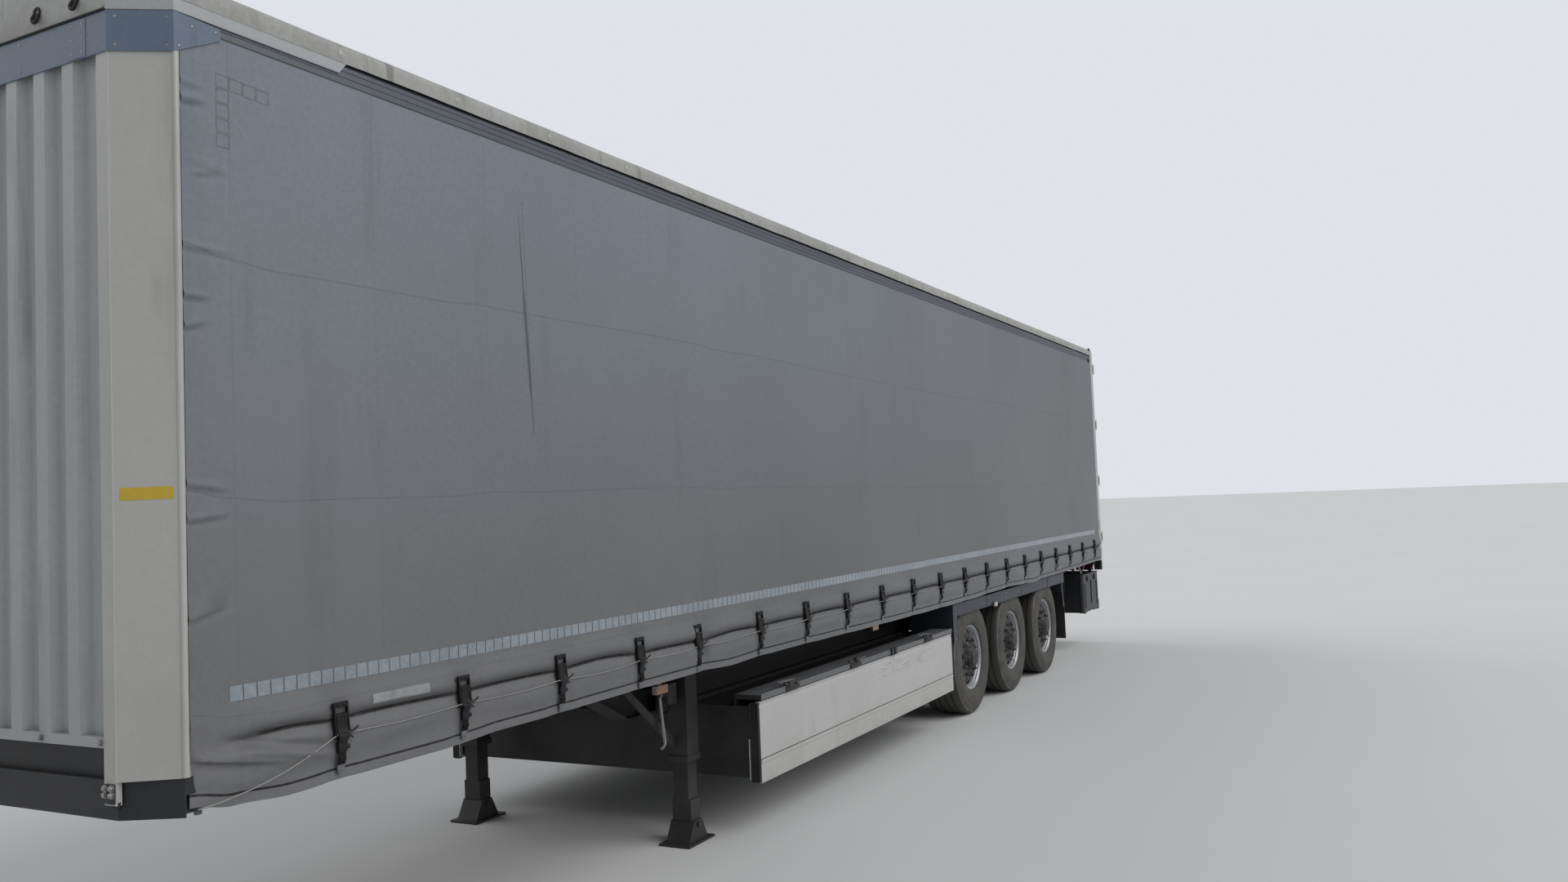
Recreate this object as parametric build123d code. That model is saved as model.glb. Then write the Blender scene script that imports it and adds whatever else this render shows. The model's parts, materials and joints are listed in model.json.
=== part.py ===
from build123d import *
from math import cos, radians, sin
import os

# Three-axle curtain-sided semi trailer, parked on its landing legs. Millimetres.
# +X points to the front, +Y to the left side, +Z up. The origin is on the ground, in the middle of
# the whole trailer, under the centre line. Setbacks are measured from the front or the rear end,
# insets from the side of the body, drops from the roof or the floor.

# Overall sizes
length = 13860.0
body_width = 2550.0
height = 4000.0
floor_z = 1240.0

# Floor, beams, cross members and side rails
floor_t = 28.0
beam_inset = 625.0
beam_depth = 412.0
neck_depth = 112.0
neck_l = 2700.0
neck_taper_l = 600.0
tail_depth = 260.0
tail_overhang = 890.0
flange_w = 130.0
flange_t = 12.0
web_t = 8.0
frame_setback = 130.0
member_depth = 80.0
member_w = 60.0
member_t = 8.0
member_pitch = 655.0
outrigger_end_h = 40.0
rail_w = 76.0
rail_drop = 120.0
rail_t = 8.0
rail_lip_h = 55.0
rail_step = 18.0
rail_bend_h = 7.0
rail_foot_w = 46.0

# Coupling
kingpin_setback = 1600.0
coupling_plate_t = 8.0
coupling_plate_l = 2300.0
kingpin_r = 25.4
kingpin_collar_r = 36.5
kingpin_shoulder_h = 35.0
kingpin_waist_h = 21.0
kingpin_head_h = 28.0
socket_r = 38.0
socket_l = 25.0
socket_pitch = 150.0
socket_count = 4
socket_plate_h = 80.0
socket_plate_t = 6.0

# Front wall, corner posts and header
skin = 5.0
strip_in_inset = 240.0
strip_out_inset = 180.0
chamfer_l = 120.0
post_setback = 200.0
post_wall = 60.0
post_lip = 45.0
post_tab_h = 75.0
post_tab_t = 20.0
wall_t = 60.0
wall_lift = 107.0
kick_plate_t = 15.0
foot_bar_h = 35.0
rib_pitch = 160.0
rib_flat = 60.0
rib_slope = 22.0
rib_depth = 28.0
header_drop = 55.0
header_h = 138.0
header_bend = 3.0
header_arm_l = 180.0
header_tip_h = 42.0
header_tip_drop = 5.0

# Roof
roof_edge_drop = 84.0
roof_knee_drop = 30.0
roof_knee_inset = 285.0
roof_shoulder = 30.0
roof_corner = 12.0
roof_t = 6.0
roof_gap = 4.0
roof_rail_drop = 76.0
roof_rail_h = 120.0
roof_rail_w = 55.0
roof_rail_wall = 8.0
roof_track_h = 45.0
roof_rail_bevel = (14.0, 20.0)
bow_setback = 639.0
bow_pitch = 645.5
bow_w = 40.0
bow_t = 25.0

# Curtains, their straps, and the posts and slats behind them
curtain_t = 4.0
curtain_drop = 140.0
curtain_lap = 25.0
curtain_setback = 145.0
curtain_gap = 3.0
buckle_setback = 610.0
buckle_pitch = 659.6
buckle_w = 56.0
buckle_proud = 35.0
buckle_rise = 140.0
buckle_l = 210.0
buckle_crown = 12.0
buckle_nose_h = 40.0
buckle_tail_h = 30.0
strap_t = 4.0
side_post_count = 3
side_post_l = 110.0
side_post_gap = 6.0
slat_rises = (320.0, 860.0, 1320.0, 1720.0)
slat_h = 120.0
slat_t = 25.0
slat_gap = 20.0

# Rear frame and doors
hinge_setback = 16.0
hinge_r = 13.0
hinge_inset = 14.0
hinge_to_face = 40.0
hinge_count = 4
hinge_low = 210.0
hinge_high = 220.0
knuckle_h = 80.0
knuckle_grip = 3.0
lug_h = 25.0
knuckle_gap = 2.0
strap_plate_t = 8.0
strap_plate_l = 160.0
door_t = 30.0
seal_gap = 5.0
door_drop = 50.0
door_top_drop = 36.0
door_edge = 31.0
door_middle_gap = 5.0
rear_post_l = 120.0
rear_post_w = 100.0
rear_sill_drop = 150.0
rear_header_h = 190.0
lock_rod_in_y = 330.0
lock_rod_out_inset = 300.0
lock_rod_r = 13.5
lock_rod_standoff = 16.0
lock_rod_overlap = 30.0
lock_rod_top_gap = 10.0
lock_guide_count = 4
lock_guide_low = 140.0
lock_guide_high = 280.0
lock_guide_w = 44.0
lock_guide_h = 50.0
lock_cam_w = 40.0
lock_cam_h = 30.0
lock_cam_t = 8.0
lock_handle_rise = 380.0
lock_handle_step = 130.0
lock_handle_l = 330.0
lock_handle_h = 36.0
lock_handle_t = 10.0
lock_catch_w = 40.0
lock_catch_h = 90.0
lock_catch_share = 0.7

# Wheels, axles and air suspension
axle_count = 3
axle_pitch = 1310.0
axle_setback = 2870.0
wheel_inset = 255.0
tyre_r = 520.0
tyre_w = 380.0
tyre_tread_w = 300.0
tyre_belly_r = 410.0
rim_r = 290.0
rim_w = 324.0
rim_wall = 13.0
rim_offset = 120.0
disc_t = 14.0
disc_dish = 22.0
disc_flat_r = 207.0
hub_r = 110.0
hub_cap_r = 70.0
hub_out = 75.0
hub_step = 25.0
hub_back = -20.0
axle_r = 73.0
spindle_r = 45.0
spindle_l = 90.0
spindle_gap = 1.0
pivot_ahead = 500.0
pivot_up = 50.0
arm_w = 100.0
arm_t = 50.0
arm_tail_t = 30.0
arm_eye_r = 50.0
seat_behind = 380.0
seat_up = 20.0
seat_front_l = 120.0
seat_rear_l = 90.0
spring_r = 150.0
spring_foot_r = 112.0
spring_foot_share = 0.35
hanger_top_l = 260.0
hanger_bottom_l = 130.0
hanger_drop = 30.0
hanger_t = 8.0
pivot_nut = 54.0
pivot_nut_l = 22.0
clamp_l = 220.0
clamp_t = 24.0
clamp_side = 24.0
clamp_edge = 16.0
clamp_bolt = 22.0
clamp_bolt_gap = 6.0
clamp_bolt_tail = 20.0
damper_gap = 36.0
damper_r = 32.0
damper_rod_r = 22.0
damper_pin = 44.0
damper_ahead = 190.0
damper_behind = 20.0
damper_rise = 60.0
brake_inset = 150.0
brake_plate_t = 26.0
brake_plate_l = 220.0
brake_plate_drop = 120.0
caliper_l = 180.0
caliper_w = 120.0
caliper_low = 95.0
caliper_high = 215.0
chamber_up = 150.0
chamber_r = 85.0
chamber_l = 130.0

# Landing legs
leg_setback = 3845.0
leg_inset = 445.0
leg_top_gap = 20.0
leg_tube = 130.0
leg_inner_tube = 104.0
leg_tube_bottom_z = 500.0
leg_plate_margin = 60.0
leg_inner_bottom_z = 150.0
foot_l = 300.0
foot_w = 220.0
foot_t = 12.0
foot_pin_z = 110.0
foot_pin = 30.0
foot_pin_out = 44.0
fork_top_z = 260.0
fork_t = 14.0
fork_nose = 30.0
saddle_t = 16.0
saddle_toe = 40.0
saddle_top_l = 90.0
saddle_top_z = 135.0
leg_shaft_r = 17.0
leg_shaft_z = 770.0
stay_t = 12.0
stay_h = 70.0
stay_rise = 60.0
stay_reach = 1000.0

# Pallet box with its flaps
box_leg_gap = 245.0
box_guard_gap = 110.0
box_h = 440.0
box_hang = 10.0
box_wall = 12.0
box_inset = 85.0
flap_inset = 35.0
flap_t = 28.0
flap_under = 27.0
flap_over = 30.0
flap_end_gap = 8.0
flap_groove_rise = 137.0
flap_groove_h = 8.0
flap_groove_depth = 5.0
flap_lip_h = 40.0
flap_lip_t = 6.0
flap_hinge_count = 3
flap_hinge_margin = 260.0
flap_hinge_drop = 10.0
flap_hinge_out = 11.0
flap_hinge_r = 9.0
flap_knuckle_l = 60.0
flap_knuckle_gap = 3.0
ledge_w = 190.0
ledge_gap = 12.0
ledge_h = 28.0
ledge_t = 8.0
ledge_out = 10.0
latch_front_setback = 430.0
latch_middle_setback = 1450.0
latch_rear_setback = 609.0
latch_l = 180.0
latch_t = 12.0
latch_lever_h = 34.0
latch_lever_l = 120.0
latch_lever_t = 14.0

# Mudguards, flaps, tool box and air tanks
guard_ahead = 590.0
guard_behind = 820.0
guard_in_inset = 455.0
guard_out_inset = 47.0
guard_t = 4.0
guard_drop = 180.0
guard_skirt_h = 110.0
guard_leg_h = 340.0
guard_strip_l = 120.0
guard_rear_h = 235.0
guard_stay_w = 30.0
guard_stay_margin = 10.0
mud_flap_z = 280.0
mud_flap_t = 8.0
mud_flap_inset = 10.0
tool_setback = 140.0
tool_l = 850.0
tool_bottom_z = 470.0
tool_h = 480.0
tool_in_inset = 535.0
tool_out_inset = 70.0
tool_wall = 8.0
tool_lid_t = 50.0
tool_lid_round = 35.0
tool_gap = 5.0
tool_slot_w = 70.0
tool_slot_h = 300.0
tool_slot_depth = 10.0
tool_hang_w = 50.0
tool_hang_margin = 120.0
tool_hang_l = 40.0
tool_hang_lean = 24.0
tool_hinge_in = 25.0
tool_hinge_drop = 12.0
tool_hinge_r = 9.0
tool_knuckle_l = 60.0
tool_knuckle_margin = 150.0
tank_r = 123.0
tank_l = 900.0
tank_behind = 590.0
tank_y = 250.0
tank_dome = 45.0
tank_end_share = 0.6
saddle_h = 12.0
saddle_w = 140.0

# Rear underrun bar, lamps and buffers
underrun_bottom_z = 440.0
underrun_h = 120.0
underrun_setback = 25.0
underrun_inset = 95.0
underrun_t = 100.0
underrun_arm_y = 480.0
underrun_arm_t = 12.0
lamp_l = 420.0
lamp_h = 130.0
lamp_out = 10.0
lamp_t = 70.0
lamp_gap = 20.0
buffer_inset = 30.0
buffer_w = 90.0
buffer_h = 190.0
buffer_drop = 90.0
marker_front_setback = 3013.0
marker_middle_setback = 5997.0
marker_rear_setback = 1480.0
marker_skirt_drop = 20.0
marker_l = 110.0
marker_h = 45.0
marker_t = 30.0


def block(x0, x1, y0, y1, z0, z1):
    """A box between two corners."""
    low = (min(x0, x1), min(y0, y1), min(z0, z1))
    return Solid.make_box(abs(x1 - x0), abs(y1 - y0), abs(z1 - z0), Plane(low))


def prism(points, direction):
    """A flat outline of points in space, pushed along a direction."""
    return Solid.extrude(Face(Wire.make_polygon(points, close=True)), Vector(*direction))


def prism_x(outline, x0, x1):
    """An outline of (y, z) points, pushed from x0 to x1."""
    return prism([(x0, y, z) for y, z in outline], (x1 - x0, 0, 0))


def prism_y(outline, y0, y1):
    """An outline of (x, z) points, pushed from y0 to y1."""
    return prism([(x, y0, z) for x, z in outline], (0, y1 - y0, 0))


def prism_z(outline, z0, z1):
    """An outline of (x, y) points, pushed from z0 to z1."""
    return prism([(x, y, z0) for x, y in outline], (0, 0, z1 - z0))


def rod(start, end, radius):
    """A round bar between two points."""
    run = Vector(*end) - Vector(*start)
    return Solid.make_cylinder(radius, run.length, Plane(origin=start, z_dir=run))


def hexagon(across):
    """The corners of a bolt head or nut, from the size across its flats."""
    corner_r = across / 2 / cos(radians(30))
    return [(corner_r * cos(radians(60 * i)), corner_r * sin(radians(60 * i))) for i in range(6)]


def bolt_y(x, z, y0, y1, across):
    """A hexagonal bolt or nut along Y."""
    return prism_y([(x + dx, z + dz) for dx, dz in hexagon(across)], y0, y1)


def bolt_z(x, y, z0, z1, across):
    """A hexagonal bolt or nut along Z."""
    return prism_z([(x + dx, y + dy) for dx, dy in hexagon(across)], z0, z1)


def turned(profile, centre, direction):
    """A solid of revolution from (distance along the axis, radius) points."""
    axis = Vector(*direction).normalized()
    across = Vector(0, 0, 1) if abs(axis.Z) < 0.9 else Vector(1, 0, 0)
    base = Vector(*centre)
    points = [base + axis * along + across * radius for along, radius in profile]
    face = Face(Wire.make_polygon(points, close=True))
    return Solid.revolve(face, 360, Axis(base, axis))


def fused(solids):
    """Solids that are welded or cast as one piece."""
    first, *rest = solids
    whole = first.fuse(*rest)
    return whole.clean().solids()


def less(solid, tools):
    """A solid with others cut out of it."""
    return solid.cut(*tools).solids()


def mirrored(solids):
    """The same solids on the other side of the trailer."""
    return [solid.mirror(Plane.XZ) for solid in solids]


def both(solids):
    """The solids of the left side, with their mirror images."""
    return solids + mirrored(solids)


def spaced(first, last, count):
    """Evenly spaced places from the first to the last."""
    return [first + (last - first) * i / (count - 1) for i in range(count)]


# Levels and stations that follow from the sizes above
front_x = length / 2
rear_x = -length / 2
side_y = body_width / 2
post_face_x = front_x - skin
post_side_y = side_y - skin
rail_out_y = post_side_y - curtain_t
rail_in_y = rail_out_y - rail_w
rail_web_y = rail_out_y - rail_step - rail_t
rail_bottom_z = floor_z - rail_drop
frame_front_x = front_x - frame_setback
beam_y = side_y - beam_inset
floor_bottom_z = floor_z - floor_t
beam_bottom_z = floor_bottom_z - beam_depth
neck_bottom_z = floor_bottom_z - neck_depth
coupling_z = neck_bottom_z - coupling_plate_t
member_top_z = floor_bottom_z - flange_t
member_bottom_z = member_top_z - member_depth
kingpin_x = front_x - kingpin_setback
strip_in_y = side_y - strip_in_inset
strip_out_y = side_y - strip_out_inset
post_back_x = front_x - post_setback
wall_back_x = post_face_x - wall_t
wall_bottom_z = floor_z + wall_lift
roof_edge_z = height - roof_edge_drop
roof_knee_z = height - roof_knee_drop
roof_knee_y = side_y - roof_knee_inset
roof_rail_top_z = roof_edge_z - roof_rail_drop
roof_rail_bottom_z = roof_rail_top_z - roof_rail_h
roof_rail_in_y = rail_out_y - roof_rail_w
header_top_z = roof_rail_top_z - header_drop
header_bottom_z = header_top_z - header_h
curtain_front_x = front_x - curtain_setback
curtain_bottom_z = floor_z - curtain_drop
curtain_top_z = roof_rail_bottom_z + curtain_lap
buckle_top_z = floor_z + buckle_rise
hinge_x = rear_x + hinge_setback
hinge_y = side_y - hinge_inset
door_face_x = hinge_x + hinge_to_face
door_inner_x = door_face_x + door_t
door_bottom_z = floor_z - door_drop
door_top_z = roof_edge_z - door_top_drop
hinge_levels = spaced(door_bottom_z + hinge_low, door_top_z - hinge_high, hinge_count)
rear_frame_x = door_inner_x + seal_gap
rear_frame_front_x = rear_frame_x + rear_post_l
rear_sill_bottom_z = floor_z - rear_sill_drop
rear_header_bottom_z = door_top_z - rear_header_h
wheel_y = side_y - wheel_inset
axle_z = tyre_r
last_axle_x = rear_x + axle_setback
axle_x = [last_axle_x + axle_pitch * i for i in reversed(range(axle_count))]
leg_x = front_x - leg_setback
leg_y = side_y - leg_inset
leg_top_z = member_bottom_z - leg_top_gap
guard_front_x = axle_x[0] + guard_ahead
guard_rear_x = last_axle_x - guard_behind
guard_in_y = side_y - guard_in_inset
guard_out_y = side_y - guard_out_inset
guard_top_z = floor_z - guard_drop
box_front_x = leg_x - box_leg_gap
box_rear_x = guard_front_x + box_guard_gap
box_top_z = beam_bottom_z - box_hang
box_bottom_z = box_top_z - box_h
box_side_y = side_y - box_inset
flap_y = side_y - flap_inset
flap_bottom_z = box_bottom_z - flap_under
flap_top_z = box_top_z + flap_over
flap_hinge_y = box_side_y + flap_hinge_out
flap_hinge_z = box_bottom_z - flap_hinge_drop
flap_hinge_x = spaced(box_rear_x + flap_hinge_margin, box_front_x - flap_hinge_margin, flap_hinge_count)
ledge_bottom_z = flap_top_z + ledge_gap
ledge_out_y = flap_y + ledge_out
tool_rear_x = rear_x + tool_setback
tool_front_x = tool_rear_x + tool_l
tool_top_z = tool_bottom_z + tool_h
tool_in_y = side_y - tool_in_inset
tool_out_y = side_y - tool_out_inset
tool_face_y = tool_out_y - tool_lid_t - tool_gap
tool_hinge_y = tool_out_y - tool_hinge_in
tool_hinge_z = tool_bottom_z - tool_hinge_drop
tank_front_x = last_axle_x - tank_behind
underrun_x = rear_x + underrun_setback
underrun_y = side_y - underrun_inset


def main_beams():
    """Two welded I-beams with a low neck over the coupling and a tapered tail."""
    tail_z = floor_bottom_z - tail_depth
    back = rear_frame_front_x
    under = [
        (frame_front_x, neck_bottom_z),
        (frame_front_x - neck_l, neck_bottom_z),
        (frame_front_x - neck_l - neck_taper_l, beam_bottom_z),
        (last_axle_x - tail_overhang, beam_bottom_z),
        (back, tail_z),
    ]
    web = under + [(back, floor_bottom_z), (frame_front_x, floor_bottom_z)]
    lower = under + [(x, z + flange_t) for x, z in reversed(under)]
    top = [
        (frame_front_x, floor_bottom_z - flange_t),
        (back, floor_bottom_z - flange_t),
        (back, floor_bottom_z),
        (frame_front_x, floor_bottom_z),
    ]
    beam = fused([
        prism_y(web, beam_y - web_t / 2, beam_y + web_t / 2),
        prism_y(lower, beam_y - flange_w / 2, beam_y + flange_w / 2),
        prism_y(top, beam_y - flange_w / 2, beam_y + flange_w / 2),
    ])
    return both(beam)


def member_stations():
    """The places of the cross members along the frame."""
    count = int((frame_front_x - rear_frame_front_x - 2 * member_w) // member_pitch)
    return [frame_front_x - member_w - member_pitch * (i + 0.5) for i in range(count)]


def outrigger_under_z(y):
    """The underside of the outriggers at a distance from the centre line."""
    share = (abs(y) - beam_y) / (rail_web_y - beam_y)
    return member_bottom_z + share * (member_depth - outrigger_end_h)


def cross_members():
    """Channels between the beams, tapered outriggers into the rails, and a closed front beam."""
    web_in = beam_y - web_t / 2
    web_out = beam_y + web_t / 2
    channel = [
        (0, member_bottom_z),
        (member_w, member_bottom_z),
        (member_w, member_bottom_z + member_t),
        (member_t, member_bottom_z + member_t),
        (member_t, member_top_z - member_t),
        (member_w, member_top_z - member_t),
        (member_w, member_top_z),
        (0, member_top_z),
    ]
    outrigger = [
        (web_out, outrigger_under_z(web_out)),
        (web_out, member_top_z),
        (rail_web_y, member_top_z),
        (rail_web_y, outrigger_under_z(rail_web_y)),
    ]
    pieces = []
    for x in member_stations():
        pieces.append(prism_y([(x + dx, z) for dx, z in channel], -web_in, web_in))
        pieces += both([prism_x(outrigger, x, x + member_w)])
    face = post_face_x - post_tab_t
    half = [
        (face, strip_out_y - post_tab_t),
        (post_face_x - chamfer_l, rail_out_y),
        (frame_front_x, rail_out_y),
    ]
    outline = half + [(x, -y) for x, y in reversed(half)]
    front_beam = prism_z(outline, neck_bottom_z + flange_t, floor_z)
    kick_plate = block(wall_back_x, wall_back_x + kick_plate_t, -strip_in_y, strip_in_y,
                       floor_z, wall_bottom_z)
    return pieces + fused([front_beam, kick_plate])


def side_rails():
    """Long pressed rails along both sides of the floor, with a lashing lip."""
    lip_z = floor_z - rail_lip_h
    web_out_y = rail_web_y + rail_t
    profile = [
        (rail_in_y, floor_z),
        (rail_out_y, floor_z),
        (rail_out_y, lip_z),
        (web_out_y, lip_z - rail_bend_h),
        (web_out_y, rail_bottom_z),
        (web_out_y - rail_foot_w, rail_bottom_z),
        (web_out_y - rail_foot_w, rail_bottom_z + rail_t),
        (rail_web_y, rail_bottom_z + rail_t),
        (rail_web_y, floor_z - rail_t),
        (rail_in_y, floor_z - rail_t),
    ]
    return both([prism_x(profile, rear_frame_front_x, frame_front_x)])


def load_floor():
    """One plywood deck between the rails."""
    return [block(rear_frame_front_x, frame_front_x, -rail_in_y, rail_in_y, floor_bottom_z, floor_z)]


def coupling_plate():
    """The flat plate under the neck that rests on the tractor."""
    half = beam_y + flange_w / 2
    return [block(frame_front_x - coupling_plate_l, frame_front_x, -half, half,
                  coupling_z, neck_bottom_z)]


def kingpin():
    """A turned pin with a waist that the tractor's jaws close on."""
    waist_top = kingpin_shoulder_h
    waist_bottom = waist_top + kingpin_waist_h
    foot = waist_bottom + kingpin_head_h
    profile = [
        (0, 0),
        (0, kingpin_collar_r),
        (waist_top, kingpin_collar_r),
        (waist_top, kingpin_r),
        (waist_bottom, kingpin_r),
        (waist_bottom, kingpin_collar_r),
        (foot, kingpin_collar_r),
        (foot, 0),
    ]
    return [turned(profile, (kingpin_x, 0, coupling_z), (0, 0, -1))]


def service_panel():
    """A plate on the front beam with the sockets of the air and electric lines."""
    back = post_face_x - post_tab_t
    half = socket_pitch * socket_count / 2
    middle_z = (neck_bottom_z + flange_t + floor_z) / 2
    plate = block(back, back + socket_plate_t, -half, half,
                  middle_z - socket_plate_h / 2, middle_z + socket_plate_h / 2)
    pieces = [plate]
    for y in spaced(-half + socket_pitch / 2, half - socket_pitch / 2, socket_count):
        pieces.append(rod((back, y, middle_z), (back + socket_l, y, middle_z), socket_r))
    return fused(pieces)


def front_wall():
    """A bulkhead with upright pressed ribs outside, a flat lining inside and a bar along its foot."""
    valley = post_face_x - rib_depth
    outline = [(wall_back_x, strip_in_y), (wall_back_x, -strip_in_y), (valley, -strip_in_y)]
    count = int(2 * strip_in_y // rib_pitch)
    start = -rib_pitch * count / 2
    for i in range(count):
        left = start + rib_pitch * i + (rib_pitch - rib_flat) / 2
        outline += [
            (valley, left - rib_slope),
            (post_face_x, left),
            (post_face_x, left + rib_flat),
            (valley, left + rib_flat + rib_slope),
        ]
    outline.append((valley, strip_in_y))
    panel = prism_z(outline, wall_bottom_z, roof_rail_top_z)
    foot_bar = block(wall_back_x, post_face_x, -strip_in_y, strip_in_y,
                     wall_bottom_z, wall_bottom_z + foot_bar_h)
    return fused([panel, foot_bar])


def front_posts():
    """Corner posts with a chamfered outer corner and a fixing tab below the floor."""
    edge_x = curtain_front_x + curtain_gap
    edge_y = rail_out_y - curtain_gap
    outline = [
        (post_face_x, strip_in_y),
        (post_face_x, strip_out_y),
        (post_face_x - chamfer_l, post_side_y),
        (edge_x, post_side_y),
        (edge_x, edge_y),
        (post_back_x, edge_y),
        (post_back_x, post_side_y - post_wall),
        (frame_front_x, post_side_y - post_wall),
        (wall_back_x, strip_in_y + post_lip),
        (wall_back_x, strip_in_y),
    ]
    post = prism_z(outline, floor_z, roof_rail_top_z)
    tab = block(post_face_x - post_tab_t, post_face_x, strip_in_y, strip_out_y,
                floor_z - post_tab_h, floor_z)
    return both(fused([post, tab]))


def front_header():
    """A bent plate across the front, round both chamfers, with tapered arms along the sides."""
    chamfer_x = front_x - chamfer_l
    outer = [(front_x, 0), (front_x, strip_out_y + header_bend), (chamfer_x, side_y)]
    inner = [(chamfer_x, post_side_y), (post_face_x, strip_out_y), (post_face_x, 0)]
    plate = prism_z(outer + inner, header_bottom_z, header_top_z)
    tip_x = chamfer_x - header_arm_l
    tip_top_z = header_top_z - header_tip_drop
    arm = prism_y([
        (chamfer_x, header_bottom_z),
        (chamfer_x, header_top_z),
        (tip_x, tip_top_z),
        (tip_x, tip_top_z - header_tip_h),
    ], post_side_y, side_y)
    half = fused([plate, arm])
    return fused(half + mirrored(half))


def roof_rails():
    """Long extruded rails that carry the curtains and the roof bows."""
    outer, inner = rail_out_y, roof_rail_in_y
    low, high = roof_rail_bottom_z, roof_rail_top_z
    track_z = low + roof_track_h
    bevel_y, bevel_z = roof_rail_bevel
    profile = [
        (inner, low),
        (inner + roof_rail_wall, low),
        (inner + roof_rail_wall, track_z),
        (outer - roof_rail_wall, track_z),
        (outer - roof_rail_wall, low),
        (outer, low),
        (outer, high - bevel_z),
        (outer - bevel_y, high),
        (inner, high),
    ]
    return both([prism_x(profile, rear_frame_front_x, post_back_x)])


def roof_bows():
    """Sliding bows across the roof, cranked near both rails."""
    edge = rail_out_y - roof_rail_w / 2
    low = roof_edge_z - roof_shoulder - roof_t
    knee = roof_knee_z - roof_t
    crown = height - roof_t
    half_outer = [(edge, roof_rail_top_z), (edge, low), (roof_knee_y, knee)]
    half_inner = [
        (edge - bow_t, roof_rail_top_z),
        (edge - bow_t, low - bow_t),
        (roof_knee_y, knee - bow_t),
    ]
    over = half_outer + [(0, crown)] + [(-y, z) for y, z in reversed(half_outer)]
    under = half_inner + [(0, crown - bow_t)] + [(-y, z) for y, z in reversed(half_inner)]
    first_x = post_back_x - bow_setback
    count = 1 + int((first_x - bow_w - rear_frame_front_x) // bow_pitch)
    pieces = []
    for i in range(count):
        x = first_x - bow_pitch * i
        pieces.append(prism_x(over + under[::-1], x - bow_w / 2, x + bow_w / 2))
    return pieces


def roof_outline(inset):
    """The roof's section over the rails, as (y, z) points, a distance inside its outer face."""
    edge = post_side_y - inset
    half = [
        (edge, roof_rail_top_z + roof_gap),
        (edge, roof_edge_z - roof_shoulder),
        (edge - roof_corner, roof_edge_z - inset),
        (roof_knee_y, roof_knee_z - inset),
    ]
    return half + [(0, height - inset)] + [(-y, z) for y, z in reversed(half)]


def roof_cover():
    """The roof sheet with its upright strips, open below and at the rear, chamfered in front."""
    low, high = roof_rail_top_z, height + roof_t
    outer = prism_x(roof_outline(0), rear_frame_front_x, post_face_x)
    inner = prism_x(roof_outline(roof_t), rear_frame_front_x - roof_t, post_face_x - roof_t)
    shells = []
    for solid, inset in ((outer, 0), (inner, roof_t)):
        face_x = post_face_x - inset
        corner = [
            (face_x + roof_t, strip_out_y),
            (face_x + roof_t, side_y),
            (face_x - chamfer_l, side_y),
            (face_x - chamfer_l, post_side_y - inset),
            (face_x, strip_out_y),
        ]
        shells += less(solid, both([prism_z(corner, low, high)]))
    return less(shells[0], [shells[1]])


def curtain():
    """The left side curtain as one plain sheet."""
    return [block(rear_frame_front_x, curtain_front_x, rail_out_y, post_side_y,
                  curtain_bottom_z, curtain_top_z)]


def curtain_straps():
    """Over-centre buckles on their straps, along the bottom of both curtains."""
    base = post_side_y
    crown_y = base + buckle_proud
    foot_z = buckle_top_z - buckle_l
    outline = [
        (base, curtain_bottom_z),
        (base, buckle_top_z),
        (crown_y - buckle_crown, buckle_top_z),
        (crown_y, buckle_top_z - buckle_nose_h),
        (crown_y - buckle_crown, foot_z + buckle_tail_h),
        (base + strap_t, foot_z),
        (base + strap_t, curtain_bottom_z),
    ]
    first_x = curtain_front_x - buckle_setback
    count = 1 + int((first_x - buckle_w - rear_frame_front_x) // buckle_pitch)
    pieces = []
    for i in range(count):
        x = first_x - buckle_pitch * i
        pieces.append(prism_x(outline, x - buckle_w / 2, x + buckle_w / 2))
    return both(pieces)


def side_post_places():
    """The side posts divide the opening behind the curtain evenly."""
    return spaced(frame_front_x, rear_frame_front_x, side_post_count + 2)[1:-1]


def side_posts():
    """Upright posts behind the curtains, on the side rails."""
    outer = rail_out_y - side_post_gap
    pieces = []
    for x in side_post_places():
        pieces.append(block(x - side_post_l / 2, x + side_post_l / 2, rail_in_y, outer,
                            floor_z, roof_rail_bottom_z))
    return both(pieces)


def side_slats():
    """Rows of slats between the posts, which stop the load from leaning on the curtain."""
    ends = [post_back_x]
    for x in side_post_places():
        ends += [x + side_post_l / 2, x - side_post_l / 2]
    ends.append(rear_frame_front_x)
    outer = rail_out_y - slat_gap
    pieces = []
    for start, end in zip(ends[0::2], ends[1::2]):
        for rise in slat_rises:
            z = floor_z + rise
            pieces.append(block(start, end, outer - slat_t, outer, z, z + slat_h))
    return both(pieces)


def rear_frame():
    """Two corner posts, an arched header and a sill, with the fixed lugs of the door hinges."""
    x0, x1 = rear_frame_x, rear_frame_front_x
    inner = post_side_y - rear_post_w
    roof = roof_outline(0)
    arch = roof[1:-1] + [(-post_side_y, rear_header_bottom_z), (post_side_y, rear_header_bottom_z)]
    post = block(x0, x1, inner, post_side_y, rear_sill_bottom_z, rear_header_bottom_z)
    pieces = [
        prism_x(arch, x0, x1),
        block(x0, x1, -inner, inner, rear_sill_bottom_z, floor_z),
        post,
    ]
    pieces += mirrored([post])
    reach = knuckle_h / 2 + knuckle_gap
    lugs = []
    for z in hinge_levels:
        for z0 in (z - reach - lug_h, z + reach):
            lugs.append(block(hinge_x, x0, hinge_y - hinge_r, post_side_y, z0, z0 + lug_h))
            lugs.append(rod((hinge_x, hinge_y, z0), (hinge_x, hinge_y, z0 + lug_h), hinge_r))
    return fused(pieces + both(lugs))


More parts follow.
